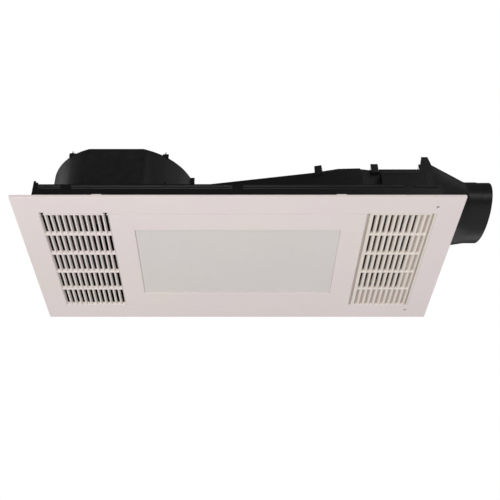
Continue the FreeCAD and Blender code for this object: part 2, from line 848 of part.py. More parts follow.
def led_boards():
    rows = range(int(size("led_rows")))
    x = both("diffuser_x - led_board_margin")
    z = ("board_under_z", "board_under_z + led_board_plate")
    boards = [block(f"led_strip_{row}", x, span(led_row_y(row), "led_board_width"), z) for row in rows]
    return node("led_boards", group("led_strips", boards))


def led_chips():
    chips = []
    for row in range(int(size("led_rows"))):
        for column in range(int(size("led_columns"))):
            x = span(f"({column} - (led_columns - 1) / 2) * led_pitch", "led_side")
            y = span(led_row_y(row), "led_side")
            chips.append(block(f"led_{row}_{column}", x, y, ("board_under_z - led_thick", "board_under_z")))
    return node("led_chips", group("leds", chips))


def led_driver():
    """Small supply for the light on the back of its pan."""
    x = ("driver_x", "driver_x + driver_length")
    y = ("driver_y", "driver_y + driver_width")
    case = block("driver_case", x, y, ("pan_top_z", "pan_top_z + driver_height"))
    ear_x = ("driver_x - driver_ear", "driver_x + driver_length + driver_ear")
    ear_y = span("driver_y + driver_width / 2", "driver_width / 2")
    ears = block("driver_ears", ear_x, ear_y, ("pan_top_z", "pan_top_z + tray_wall"))
    return node("led_driver", fuse("driver", case, ears))


def panel_screws():
    screws = []
    for side, side_name in NEAR_AND_FAR:
        x, y = "panel_screw_x", f"{side} * panel_screw_y"
        low = "panel_screw_seat_z - panel_screw_head_height"
        head = rod(f"panel_head_{side_name}", (x, y, low), "panel_screw_head", "panel_screw_head_height")
        length = "panel_screw_grip + panel_screw_bite"
        shank = rod(f"panel_shank_{side_name}", (x, y, "panel_screw_seat_z"), "panel_screw_radius", length)
        screws.append(fuse(f"panel_screw_{side_name}", head, shank))
    return node("panel_screws", group("panel_screw_set", screws))


def tray_ribs():
    """Chamfered stiffening ribs along both long walls, with gaps between the lengths."""
    end = "tray_x - rib_end_inset"
    gap = "rib_gap / 2"
    runs = (
        (f"-({end})", f"-rib_gap_x - {gap}"),
        (f"-rib_gap_x + {gap}", f"-{gap}"),
        (gap, f"rib_gap_x - {gap}"),
        (f"rib_gap_x + {gap}", end),
    )
    wall_z = ("rib_low", "rib_high")
    edge_z = ("rib_low + rib_slope", "rib_high")
    ribs = []
    for index, x in enumerate(runs):
        near_y = ("-tray_y - rib_out", "-tray_y")
        ribs.append(wedge(f"near_rib_{index}", near_y, x, edge_z, x, wall_z))
        far_y = ("tray_y", "tray_y + rib_out")
        ribs.append(wedge(f"far_rib_{index}", far_y, x, wall_z, x, edge_z))
    return ribs


def body_tray():
    """Black open-bottomed tray that hangs in the ceiling opening by its flange."""
    outer = block("tray_outer", both("tray_x"), both("tray_y"), ("-flange_plate", "roof_z"))
    flange_x = both("tray_x + flange_reach_x")
    flange_y = both("tray_y + flange_reach_y")
    flange = block("tray_flange", flange_x, flange_y, ("-flange_plate", "0"))
    inner_x = both("tray_x - tray_wall")
    inner_y = both("tray_y - tray_wall")
    hollow = block("tray_hollow", inner_x, inner_y, ("-flange_plate", "roof_under_z"))
    shell = cut("tray_shell", fuse("tray_block", outer, flange), hollow)
    added = [shell] + tray_ribs()
    removed = []
    for side, side_name in NEAR_AND_FAR:
        at = ("panel_screw_x", f"{side} * panel_screw_y", "0")
        added.append(rod(f"{side_name}_post", at, "screw_post_radius", "roof_under_z"))
        pilot = "panel_screw_radius + hole_clearance"
        removed.append(rod(f"{side_name}_pilot", at, pilot, "panel_screw_bite + insert_gap"))
        y = span(f"{side} * hook_spacing / 2", "hook_length + 2 * insert_gap")
        z = ("hook_hold", "hook_hold + hook_nose + insert_gap")
        removed.append(block(f"{side_name}_hook_slot", ("-tray_x", "tray_wall - tray_x"), y, z))
        for end in (-1, 1):
            hole_at = (f"{end} * ceiling_x", f"{side} * ceiling_y", "-flange_plate")
            name = f"{side_name}_ceiling_hole_{end + 1}"
            removed.append(rod(name, hole_at, "ceiling_hole_radius", "flange_plate"))
    knob_at = ("-knob_x", "knob_inset - tray_y", "roof_z")
    added.append(rod("locating_knob", knob_at, "knob_radius", "knob_height"))
    nub_y = ("-tray_y", "tray_wall - tray_y")
    nub_x = ("-tray_x", "nub_length - tray_x")
    nub = block("corner_nub_block", nub_x, nub_y, ("roof_z", "roof_z + nub_height"))
    slope_x = ("nub_length / 2 - tray_x", "nub_length - tray_x")
    slope = block("corner_nub_slope", slope_x, nub_y, ("roof_z + nub_height / 2", "roof_z + nub_height"))
    added.append(cut("corner_nub", nub, slope))
    inlet_at = ("fan_x", "fan_y", "roof_under_z")
    removed.append(rod("inlet_hole", inlet_at, "inlet_radius + inlet_flare + insert_gap", "tray_wall"))
    neck_x = ("neck_x - insert_gap", "neck_end_x + insert_gap")
    neck_y = ("neck_near_y - insert_gap", "neck_far_y + insert_gap")
    removed.append(block("neck_hole", neck_x, neck_y, ("roof_under_z", "roof_z")))
    wire_at = ("box_x + box_length / 2", "box_y + box_width / 2", "roof_under_z")
    removed.append(rod("wire_hole", wire_at, "wire_hole_radius", "tray_wall"))
    return node("body_tray", cut("tray", fuse("tray_solid", *added), *removed))


def polar(centre, radius, angle):
    turn = math.radians(angle)
    return V(centre[0] + radius * math.cos(turn), centre[1] + radius * math.sin(turn), 0)


def arc_edge(centre, radius, start, end):
    """An arc from one angle to another, anticlockwise."""
    middle = polar(centre, radius, (start + end) / 2)
    return Part.Arc(polar(centre, radius, start), middle, polar(centre, radius, end)).toShape()


def scroll_centres():
    left_x = -size("tray_x")
    left = (left_x + size("scroll_left_radius"), -size("scroll_left_shift"))
    right = (left_x + size("scroll_right_inset"), -size("scroll_right_shift"))
    far = (left_x + size("scroll_far_radius"), size("scroll_far_shift"))
    return left, right, far


def bulge_points():
    """Corners of the shallow bulge in the near wall over the heater."""
    near_y = size("duct_near_y")
    end_y = near_y - size("bulge_out")
    start = V(size("bulge_start_x"), -size("bulge_start_shift"), 0)
    full = V(size("bulge_full_x"), near_y - size("bulge_full_out"), 0)
    end = V(size("bulge_end_x"), end_y, 0)
    step = V(size("bulge_end_x") + size("casing_wall"), end_y + size("bulge_step"), 0)
    foot = V(size("bulge_foot_x"), near_y, 0)
    return [start, full, end, step, foot]


def casing_outline():
    """Plan of the casing: a scroll whose tongue leads into a straight duct."""
    left, right, far = scroll_centres()
    left_radius = size("scroll_left_radius")
    right_radius = size("scroll_right_radius")
    far_radius = size("scroll_far_radius")
    front_y = size("scroll_trim") + max(left[1] - left_radius, right[1] - right_radius)
    left_end = -90 - math.degrees(math.acos((left[1] - front_y) / left_radius))
    right_start = -90 + math.degrees(math.acos((right[1] - front_y) / right_radius))
    tongue = polar(right, right_radius, -size("tongue_angle"))
    end_near = V(size("casing_end_x"), size("duct_near_y"), 0)
    end_far = V(size("casing_end_x"), size("duct_far_y"), 0)
    duct_far = V(size("duct_start_x"), size("duct_far_y"), 0)
    to_far = duct_far - V(far[0], far[1], 0)
    lean = math.degrees(math.atan2(to_far.y, to_far.x))
    tangent = lean + math.degrees(math.acos(far_radius / to_far.Length))
    front_left = polar(left, left_radius, left_end)
    front_right = polar(right, right_radius, right_start)
    far_touch = polar(far, far_radius, tangent)
    straight = [tongue] + bulge_points() + [end_near, end_far, duct_far, far_touch]
    edges = [Part.makeLine(front_left, front_right)]
    edges.append(arc_edge(right, right_radius, right_start, -size("tongue_angle")))
    edges += [Part.makeLine(start, end) for start, end in zip(straight, straight[1:])]
    edges.append(arc_edge(far, far_radius, tangent, 180))
    edges.append(Part.makeLine(polar(far, far_radius, 180), polar(left, left_radius, 180)))
    edges.append(arc_edge(left, left_radius, -180, left_end))
    return Part.Wire(edges)


def prism(wire, low, high):
    """A solid with a flat outline between two heights."""
    face = Part.Face(wire)
    face.translate(V(0, 0, low))
    return face.extrude(V(0, 0, high - low))


def near_lugs():
    """Wall point and square outward angle of the three lugs on the near side of the scroll."""
    left, right, far = scroll_centres()
    right_radius = size("scroll_right_radius")
    return [
        (polar(left, size("scroll_left_radius"), size("lug_left_angle")), -90),
        (polar(right, right_radius, size("lug_right_angle")), -90),
        (polar(right, right_radius, size("lug_tongue_angle")), 0),
    ]


def lid_lugs():
    """Outer-wall point, outward angle, width, reach and height of each lid lug."""
    left, right, far = scroll_centres()
    small = (size("lug_width"), 0, size("lug_height"))
    tongue = (size("lug_width"), size("tongue_lug_out"), size("tongue_lug_height"))
    large = (size("duct_lug_width"), size("duct_lug_out"), size("duct_lug_height"))
    far_radius = size("scroll_far_radius")
    left_lug, right_lug, tongue_lug = near_lugs()
    lugs = [(*left_lug, *small), (*right_lug, *small), (*tongue_lug, *tongue)]
    start, full = bulge_points()[:2]
    run = full - start
    share = (size("duct_lug_x") - start.x) / run.x
    lugs.append((start + run * share, math.degrees(math.atan2(run.y, run.x)) - 90, *large))
    lugs.append((V(size("duct_lug_end_x"), size("duct_near_y"), 0), -90, *large))
    lugs += [(polar(far, far_radius, angle), angle, *small) for angle in (100, 160)]
    lugs.append((V(size("skirt_start_x"), size("duct_far_y"), 0), 90, *small))
    return lugs


def turned(shape, point, angle):
    """A shape drawn along +X from the origin, turned and moved to a wall point."""
    moved = shape.copy()
    moved.Placement = FreeCAD.Placement(point, FreeCAD.Rotation(V(0, 0, 1), angle))
    return moved


def lug_screw_axis(point, angle):
    turn = math.radians(angle)
    return point - V(math.cos(turn), math.sin(turn), 0) * size("lid_screw_inset")


def end_shoulder():
    """Hollow shoulder that brings the duct's near wall flush with its end flange."""
    wall, near_y = size("casing_wall"), size("duct_near_y")
    start_x, end_x = size("skirt_start_x"), size("casing_end_x")
    out_y = near_y - size("end_flange_reach")
    low, high = size("roof_z"), size("lid_top_z") - size("shoulder_drop")
    block = solid_box((start_x, end_x), (out_y, near_y), (low, high))
    room = solid_box((start_x + wall, end_x), (out_y + wall, near_y), (low, high - wall))
    lip_y = (out_y - size("shoulder_lip"), out_y)
    lip = solid_box((start_x, end_x), lip_y, (high - size("shoulder_lip_height"), high))
    return block.cut(room).fuse(lip)


def fan_casing():
    """Scroll and duct walls in one moulding, with screw bosses inside and a flange at the end."""
    outline = casing_outline()
    wall = size("casing_wall")
    inner = outline.makeOffset2D(-wall, 0, False, False, False)
    low, high = size("roof_z"), size("lid_under_z")
    room = prism(inner, low, high)
    shape = prism(outline, low, high).cut(room)
    within = prism(outline, low, high)
    boss_low = high - size("lid_screw_bite") - size("casing_wall")
    for point, angle, width, out, height in lid_lugs():
        axis = lug_screw_axis(point, angle) + V(0, 0, boss_low)
        boss = Part.makeCylinder(size("lid_boss_radius"), high - boss_low, axis).common(within)
        shape = shape.fuse(boss)
    end_x, flange_x = size("casing_end_x"), size("flange_x")
    reach = size("end_flange_reach")
    near_y, far_y = size("duct_near_y"), size("duct_far_y")
    flange_y = (near_y - reach, far_y + reach)
    shape = shape.fuse(end_shoulder())
    shape = shape.fuse(solid_box((end_x, flange_x), flange_y, (low, size("lid_top_z"))))
    margin = size("end_opening_margin")
    opening_z = (low + wall, high - margin)
    shape = shape.cut(solid_box((end_x - 2 * wall, flange_x), (near_y + wall, far_y - wall), opening_z))
    hole_radius = size("lid_screw_radius") + size("hole_clearance")
    hole_low = high - size("lid_screw_bite") - size("insert_gap")
    for point, angle, width, out, height in lid_lugs():
        axis = lug_screw_axis(point, angle) + V(0, 0, hole_low)
        shape = shape.cut(Part.makeCylinder(hole_radius, high - hole_low, axis))
    for screw_y, screw_z in adaptor_screw_places():
        hole = size("adaptor_screw_radius") + size("hole_clearance")
        shape = shape.cut(Part.makeCylinder(hole, flange_x - end_x, V(end_x, screw_y, screw_z), V(1, 0, 0)))
    bush = size("damper_bush_radius")
    bush_at = V(size("damper_x"), near_y - wall, size("damper_z"))
    shape = shape.cut(Part.makeCylinder(bush, size("duct_width") + 2 * wall, bush_at, V(0, 1, 0)))
    return shape_node("fan_casing", shape.removeSplitter())


def casing_lid():
    """Flat lid over scroll and duct, with a lug at each screw and a skirt over the duct's end."""
    low, high = size("lid_under_z"), size("lid_top_z")
    outline = casing_outline()
    shape = prism(outline, low, high)
    gap, wall = size("insert_gap"), size("lid_plate")
    drop = size("duct_lug_drop")
    around = prism(outline.makeOffset2D(gap, 0, False, False, False), low - drop, low)
    for point, angle, width, out, height in lid_lugs():
        x, y = (-size("lug_in"), out), (-width / 2, width / 2)
        lug = turned(solid_box(x, y, (low, high + height)), point, angle)
        shape = shape.fuse(lug)
        if out > 0:
            apron = turned(solid_box(x, y, (low - drop, low)), point, angle)
            shape = shape.fuse(apron.cut(around))
    for point, angle in near_lugs()[:2]:
        pin_at = V(-size("lug_pin_inset"), 0, high + size("lug_height"))
        pin = Part.makeCylinder(size("lug_pin_radius"), size("lug_pin_height"), pin_at)
        shape = shape.fuse(turned(pin, point, angle))
    skirt_x = (size("skirt_start_x"), size("casing_end_x"))
    near_y = size("duct_near_y")
    drop_z = (high - size("skirt_drop"), high)
    shape = shape.fuse(solid_box(skirt_x, (near_y - gap - wall, near_y), (low, high)))
    shape = shape.fuse(solid_box(skirt_x, (near_y - gap - wall, near_y - gap), drop_z))
    hole_radius = size("lid_screw_radius") + size("hole_clearance")
    for point, angle, width, out, height in lid_lugs():
        axis = lug_screw_axis(point, angle) + V(0, 0, low)
        shape = shape.cut(Part.makeCylinder(hole_radius, high + height - low, axis))
    for x, y in motor_screw_places():
        hole = size("motor_screw_radius") + size("hole_clearance")
        shape = shape.cut(Part.makeCylinder(hole, high - low, V(x, y, low)))
    return shape_node("casing_lid", shape.removeSplitter())


def screw_shape(seat, direction, head_radius, head_height, shank_radius, shank_length):
    """A screw with its head above the seat and its shank below it."""
    head = Part.makeCylinder(head_radius, head_height, seat, direction)
    shank = Part.makeCylinder(shank_radius, shank_length, seat - direction * shank_length, direction)
    return head.fuse(shank).removeSplitter()


def lid_screws():
    screws = []
    for point, angle, width, out, height in lid_lugs():
        seat = lug_screw_axis(point, angle) + V(0, 0, size("lid_top_z") + height)
        length = height + size("lid_plate") + size("lid_screw_bite")
        head = (size("lid_screw_head"), size("lid_screw_head_height"))
        screws.append(screw_shape(seat, V(0, 0, 1), *head, size("lid_screw_radius"), length))
    return shape_node("lid_screws", Part.makeCompound(screws))


def inlet_ring():
    """Bell-mouth that leads air from the tray up into the impeller."""
    at = ("fan_x", "fan_y", "roof_under_z - inlet_wall")
    flange = rod("inlet_flange_disc", at, "inlet_radius + inlet_flare + inlet_flange", "inlet_wall")
    throat_at = ("fan_x", "fan_y", "roof_under_z")
    wide = "inlet_radius + inlet_flare"
    throat = cone("inlet_throat", throat_at, wide, "inlet_radius + inlet_wall", "inlet_rise")
    mouth = cone("inlet_mouth", throat_at, f"{wide} - inlet_wall", "inlet_radius", "inlet_rise")
    eye = rod("inlet_eye", at, f"{wide} - inlet_wall", "inlet_wall")
    return node("inlet_ring", cut("bell_mouth", fuse("bell", flange, throat), mouth, eye))


def impeller():
    """Drum of leaning blades under a dished back plate that takes the motor in its hollow."""
    body = new_body("impeller")
    centre = ("0", "0")
    rim_z = ("impeller_top_z - impeller_skin", "impeller_top_z")
    add_disc(body, "back_plate", centre, "impeller_radius", rim_z)
    dish_z = ("dish_floor_z", "impeller_top_z - impeller_skin")
    add_disc(body, "dish_wall", centre, "dish_top_radius", dish_z)
    hollow_z = ("dish_floor_z + impeller_skin", "impeller_top_z")
    cut_disc(body, "dish_hollow", centre, "dish_top_radius - impeller_skin", hollow_z)
    add_disc(body, "hub", centre, "hub_radius", ("hub_low_z", "dish_floor_z"))
    bore_z = ("hub_low_z", "dish_floor_z + impeller_skin")
    cut_disc(body, "hub_bore", centre, "shaft_radius + shaft_fit", bore_z)
    blade_x = ("impeller_radius - blade_depth", "impeller_radius")
    blade_z = ("impeller_low_z", "impeller_top_z - impeller_skin")
    blade = add_slab(body, "blade", ("0", "blade_depth"), both("blade_wall / 2"), blade_z)
    lean = FreeCAD.Rotation(V(0, 0, 1), size("blade_lean"))
    sketch = blade.Profile[0]
    sketch.AttachmentOffset = FreeCAD.Placement(sketch.AttachmentOffset.Base, lean)
    bind(sketch, AttachmentOffset__Base__x=blade_x[0])
    doc.recompute()
    wheel = body.newObject("PartDesign::PolarPattern", "blades")
    wheel.Originals = [blade]
    wheel.Axis = (origin_feature(body, "Z_Axis"), [""])
    wheel.Angle = 360
    bind(wheel, Occurrences="blade_count")
    body.Tip = wheel
    ring_z = ("impeller_low_z", "impeller_low_z + impeller_ring")
    ring = body.newObject("Sketcher::SketchObject", "ring_sketch")
    attach(body, ring, "0", "0", ring_z[0])
    for index, radius in enumerate(("impeller_radius", "impeller_radius - blade_depth")):
        ring.addGeometry(Part.Circle(V(), V(0, 0, 1), 10.0 - index))
        ring.addConstraint(Sketcher.Constraint("Coincident", index, 3, -1, 1))
        limit = ring.addConstraint(Sketcher.Constraint("Radius", index, 10.0 - index))
        ring.setExpression(f"Constraints[{limit}]", expression(radius))
    raise_from(body, "inlet_side_ring", ring, ring_z)
    bind(body, Placement__Base__x="fan_x", Placement__Base__y="fan_y")
    return node("impeller", body)


def fan_point(z):
    return ("fan_x", "fan_y", z)


def motor_shaft():
    length = "motor_top_z - motor_wall - hub_low_z + nut_height"
    at = fan_point("hub_low_z - nut_height")
    return node("motor_shaft", rod("shaft_rod", at, "shaft_radius", length))


def impeller_nut():
    nut = hexagon("nut_hex", fan_point("hub_low_z - nut_height"), "nut_radius", "nut_height")
    bore = rod("nut_bore", fan_point("hub_low_z - nut_height"), "shaft_radius + shaft_fit", "nut_height")
    return node("impeller_nut", cut("nut", nut, bore))


def motor_body():
    """Motor can with a bearing cup in each end."""
    can = rod("motor_can", fan_point("motor_low_z"), "motor_radius", "motor_height")
    room_at = fan_point("motor_low_z + motor_wall")
    room = rod("motor_room", room_at, "motor_radius - motor_wall", "motor_height - 2 * motor_wall")
    shell = cut("motor_shell", can, room)
    cup_radius = "bearing_radius + motor_wall"
    low_cup = rod("low_cup", fan_point("motor_low_z"), cup_radius, "bearing_height")
    high_cup = rod("high_cup", fan_point("motor_top_z - bearing_height"), cup_radius, "bearing_height")
    cups = fuse("motor_cups", shell, low_cup, high_cup)
    seats = rod("bearing_seats", fan_point("motor_low_z"), "bearing_radius", "motor_height")
    return node("motor_body", cut("motor_case", cups, seats))


def motor_bearings():
    bore = "shaft_radius + shaft_fit"
    low = tube("low_bearing", fan_point("motor_low_z"), "bearing_radius", bore, "bearing_height")
    high_z = "motor_top_z - bearing_height"
    high = tube("high_bearing", fan_point(high_z), "bearing_radius", bore, "bearing_height")
    return node("motor_bearings", group("bearing_pair", [low, high]))


def motor_stator():
    radius = "motor_radius - motor_wall"
    at = fan_point("core_low_z")
    return node("motor_stator", tube("stator", at, radius, "stator_inner_radius", "core_height"))


def motor_rotor():
    radius = "stator_inner_radius - rotor_gap"
    bore = "shaft_radius + shaft_fit"
    return node("motor_rotor", tube("rotor", fan_point("core_low_z"), radius, bore, "core_height"))


def motor_screw_places():
    """Four screws on a circle about the fan axis."""
    radius = size("motor_screw_circle")
    for angle in (45, 135, 225, 315):
        point = polar((size("fan_x"), size("fan_y")), radius, angle)
        yield point.x, point.y


def motor_bracket():
    """Cross-shaped plate on top of the motor, hung from the lid."""
    low = size("motor_top_z")
    plate = size("bracket_plate")
    reach = size("motor_screw_circle") + size("bush_radius")
    width = size("bracket_width")
    arm = solid_box((-reach, reach), (-width / 2, width / 2), (low, low + plate))
    centre = V(size("fan_x"), size("fan_y"), 0)
    shape = turned(arm, centre, 45).fuse(turned(arm, centre, 135)).removeSplitter()
    hole = size("motor_screw_radius") + size("hole_clearance")
    for x, y in motor_screw_places():
        shape = shape.cut(Part.makeCylinder(hole, plate, V(x, y, low)))
    return shape_node("motor_bracket", shape)


def motor_bushes():
    """Rubber bushes between bracket and lid that keep fan noise out of the casing."""
    height = size("bush_height")
    low = size("lid_under_z") - height
    hole = size("motor_screw_radius") + size("hole_clearance")
    bushes = []
    for x, y in motor_screw_places():
        outer = Part.makeCylinder(size("bush_radius"), height, V(x, y, low))
        bushes.append(outer.cut(Part.makeCylinder(hole, height, V(x, y, low))))
    return shape_node("motor_bushes", Part.makeCompound(bushes))


def motor_screws():
    screws = []
    length = size("lid_top_z") - size("motor_top_z") + size("motor_screw_head_height")
    head = (size("motor_screw_head"), size("motor_screw_head_height"))
    for x, y in motor_screw_places():
        seat = V(x, y, size("lid_top_z"))
        screws.append(screw_shape(seat, V(0, 0, 1), *head, size("motor_screw_radius"), length))
    return shape_node("motor_screws", Part.makeCompound(screws))


def heater_box():
    """Metal sleeve from the duct floor down to the outlet grille, with a raised neck as damper seat."""
    x = ("heater_x", "heater_end_x")
    y = ("heater_near_y", "heater_far_y")
    outer = block("heater_outer", x, y, ("heater_low_z", "roof_under_z"))
    inner_x = ("heater_x + heater_wall", "heater_end_x - heater_wall")
    inner_y = ("heater_near_y + heater_wall", "heater_far_y - heater_wall")
    inner = block("heater_inner", inner_x, inner_y, ("heater_low_z", "roof_under_z - heater_wall"))
    neck_x = ("neck_x", "neck_end_x")
    neck_y = ("neck_near_y", "neck_far_y")
    neck = block("neck_outer", neck_x, neck_y, ("roof_under_z - heater_wall", "neck_top_z"))
    way_x = ("neck_x + heater_wall", "neck_end_x - heater_wall")
    way_y = ("neck_near_y + heater_wall", "neck_far_y - heater_wall")
    way = block("neck_way", way_x, way_y, ("roof_under_z - heater_wall", "neck_top_z"))
    slots = []
    slot_y = ("heater_far_y - heater_wall", "heater_far_y")
    slot_z = span("element_z + element_height / 2", "tab_width + 2 * insert_gap")
    for index in range(int(size("bar_count"))):
        slots.append(block(f"tab_slot_{index}", heater_tab_x(index, "insert_gap"), slot_y, slot_z))
    return node("heater_box", cut("heater_sleeve", fuse("heater_solid", outer, neck), inner, way, *slots))


def element_bounds():
    """Inside of the heater box across X, and the run of the element along Y."""
    wall = size("heater_wall")
    cap = size("end_cap_length")
    x = (size("heater_x") + wall, size("heater_end_x") - wall)
    y = (size("heater_near_y") + wall + cap, size("heater_far_y") - wall - cap)
    return x, y


def element_columns():
    """Left edges of the fin packs and heating bars, and the width of a pack."""
    x, y = element_bounds()
    count = int(size("bar_count"))
    pack = (x[1] - x[0] - count * size("ptc_width")) / (count + 1)
    step = pack + size("ptc_width")
    packs = [x[0] + index * step for index in range(count + 1)]
    bars = [x[0] + pack + index * step for index in range(count)]
    return packs, bars, pack


def ptc_bars():
    """Flat heating bars along the element."""
    packs, bars, pack = element_columns()
    x, y = element_bounds()
    z = (size("element_z"), size("element_z") + size("element_height"))
    solids = [solid_box((left, left + size("ptc_width")), y, z) for left in bars]
    return shape_node("ptc_bars", Part.makeCompound(solids))


def fin_strip(left, pack):
    """One folded strip that zigzags between two neighbouring bars."""
    x, y = element_bounds()
    wall = size("fin_wall")
    folds = int((y[1] - y[0] - wall) // size("fin_pitch"))
    right = left + pack
    sides = []
    for fold in range(folds + 1):
        at = y[0] + fold * size("fin_pitch")
        sides.append(solid_box((left, right), (at, at + wall), (0, size("element_height"))))
    for fold in range(folds):
        at = y[0] + fold * size("fin_pitch")
        edge = (right - wall, right) if fold % 2 == 0 else (left, left + wall)
        sides.append(solid_box(edge, (at, at + size("fin_pitch") + wall), (0, size("element_height"))))
    strip = sides[0].multiFuse(sides[1:]).removeSplitter()
    strip.translate(V(0, 0, size("element_z")))
    return strip


def heater_fins():
    packs, bars, pack = element_columns()
    return shape_node("heater_fins", Part.makeCompound([fin_strip(left, pack) for left in packs]))


def heater_end_caps():
    """Insulating blocks that carry the ends of the heating element."""
    x = ("heater_x + heater_wall", "heater_end_x - heater_wall")
    z = ("element_z", "element_z + element_height")
    near = ("heater_near_y + heater_wall", "heater_near_y + heater_wall + end_cap_length")
    far = ("heater_far_y - heater_wall - end_cap_length", "heater_far_y - heater_wall")
    caps = [block("near_cap", x, near, z), block("far_cap", x, far, z)]
    return node("heater_end_caps", group("end_caps", caps))


def heater_tab_x(index, extra):
    """Width of one lead tab across X, with a clearance on both sides."""
    centre = f"heater_x + (heater_end_x - heater_x) * ({index} + 1) / (bar_count + 1)"
    return span(centre, f"tab_plate + 2 * {extra}")


def heater_terminals():
    """Push-on tabs for the heater's leads, out of the far end cap through slots in the box."""
    tabs = []
    z = span("element_z + element_height / 2", "tab_width")
    y = ("heater_far_y - heater_wall", "heater_far_y + tab_length")
    for index in range(int(size("bar_count"))):
        tabs.append(block(f"tab_{index}", heater_tab_x(index, "0"), y, z))
    return node("heater_terminals", group("tabs", tabs))


def thermal_cutout():
    """Round safety cut-out on the side of the heater box."""
    y = "(heater_near_y + heater_far_y) / 2"
    z = "element_z + element_height / 2"
    can = rod("cutout_can", ("heater_x - cutout_height", y, z), "cutout_radius", "cutout_height", "x")
    blade_z = span(z, "tab_width")
    x = ("heater_x - cutout_height - tab_length", "heater_x - cutout_height")
    left = block("cutout_tab_near", x, span(f"{y} - cutout_radius / 2", "tab_plate"), blade_z)
    right = block("cutout_tab_far", x, span(f"{y} + cutout_radius / 2", "tab_plate"), blade_z)
    return node("thermal_cutout", fuse("cutout", can, left, right))


def damper_flap():
    """Flap that lies on the heater neck and swings up across the duct."""
    low = "neck_top_z + damper_seat_gap"
    x = ("damper_tip_x", "damper_x")
    inner_near = "duct_near_y + casing_wall + damper_side_gap"
    inner_far = "duct_far_y - casing_wall - damper_side_gap"
    plate = block("flap_plate_box", x, (inner_near, inner_far), (low, f"{low} + damper_plate"))
    width = f"({inner_far}) - ({inner_near})"
    sleeve = rod("flap_sleeve", ("damper_x", inner_near, "damper_z"), "damper_sleeve_radius", width, "y")
    bore_radius = "damper_shaft_radius + shaft_fit"
    bore = rod("flap_bore", ("damper_x", inner_near, "damper_z"), bore_radius, width, "y")
    return node("damper_flap", cut("damper", fuse("damper_leaf", plate, sleeve), bore))


def damper_shaft():
    near = "duct_near_y - casing_wall"
    length = f"duct_far_y + damper_socket - ({near})"
    at = ("damper_x", near, "damper_z")
    return node("damper_shaft", rod("damper_rod", at, "damper_shaft_radius", length, "y"))


def damper_bushes():
    """Plain bushes for the damper shaft in the two duct walls."""
    bore = "damper_shaft_radius + shaft_fit"
    bushes = []
    for name, y in (("near", "duct_near_y"), ("far", "duct_far_y - casing_wall")):
        at = ("damper_x", y, "damper_z")
        bushes.append(tube(f"{name}_bush", at, "damper_bush_radius", bore, "casing_wall", "y"))
    return node("damper_bushes", group("damper_bush_pair", bushes))


def damper_motor():
    """Small geared motor on the far wall, with its output off centre on the damper shaft."""
    foot_y = ("duct_far_y", "duct_far_y + casing_wall")
    can_at = ("damper_motor_x", "duct_far_y", "damper_z")
    can = rod("damper_can", can_at, "damper_motor_radius", "damper_motor_length", "y")
    reach = "damper_motor_radius + damper_motor_ear"
    side_ear_x = (f"damper_motor_x - ({reach})", "damper_motor_x")
    side_ear = block("damper_side_ear", side_ear_x, foot_y, span("damper_z", "damper_ear_width"))
    top_ear_z = ("damper_z", f"damper_z + {reach}")
    top_ear = block("damper_top_ear", span("damper_motor_x", "damper_ear_width"), foot_y, top_ear_z)
    socket_at = ("damper_x", "duct_far_y", "damper_z")
    socket_radius = "damper_shaft_radius + shaft_fit"
    socket = rod("damper_socket_hole", socket_at, socket_radius, "damper_socket + insert_gap", "y")
    return node("damper_motor", cut("damper_drive", fuse("damper_case", can, side_ear, top_ear), socket))


def adaptor_screw_places():
    """Corners of the end flange where the adaptor is screwed on."""
    reach = size("end_flange_reach")
    inset = size("adaptor_screw_inset")
    near = size("duct_near_y") - reach + inset
    far = size("duct_far_y") + reach - inset
    low = size("roof_z") + inset + size("adaptor_wall")
    high = size("lid_top_z") - inset - size("adaptor_wall")
    return [(y, z) for y in (near, far) for z in (low, high)]


def hopper_wire(x, y, z, corner):
    """A square with its two lower corners rounded."""
    bend = corner * math.sqrt(0.5)
    near, far, low = y[0] + corner, y[1] - corner, z[0] + corner
    far_arc = Part.Arc(V(x, far, z[0]), V(x, far + bend, low - bend), V(x, y[1], low))
    near_arc = Part.Arc(V(x, y[0], low), V(x, near - bend, low - bend), V(x, near, z[0]))
    bottom = Part.makeLine(V(x, near, z[0]), V(x, far, z[0]))
    far_side = Part.makeLine(V(x, y[1], low), V(x, y[1], z[1]))
    top = Part.makeLine(V(x, y[1], z[1]), V(x, y[0], z[1]))
    near_side = Part.makeLine(V(x, y[0], z[1]), V(x, y[0], low))
    return Part.Wire([bottom, far_arc.toShape(), far_side, top, near_side, near_arc.toShape()])


def round_wire(x, radius):
    """A circle in six arcs that meet the six sides of the hopper's square end."""
    y, z = size("spigot_y"), size("spigot_z")

    def point(angle):
        turn = math.radians(angle)
        return V(x, y + radius * math.cos(turn), z + radius * math.sin(turn))

    joints = (255, 285, 345, 405, 495, 555, 615)
    arcs = [Part.Arc(point(a), point((a + b) / 2), point(b)) for a, b in zip(joints, joints[1:])]
    return Part.Wire([arc.toShape() for arc in arcs])


def adaptor_taper(inset):
    """Square-to-round hopper, drawn in by a wall."""
    reach = size("end_flange_reach")
    y = (size("duct_near_y") - reach + inset, size("duct_far_y") + reach - inset)
    z = (size("roof_z") + size("insert_gap") + inset, size("lid_top_z") - inset)
    square = hopper_wire(size("taper_x"), y, z, size("hopper_corner") - inset)
    circle_wire = round_wire(size("round_x"), size("spigot_radius") - inset)
    hopper = Part.makeLoft([square, circle_wire], True, True)
    box = solid_box((size("flange_x"), size("taper_x")), y, z)
    return box.fuse(hopper)


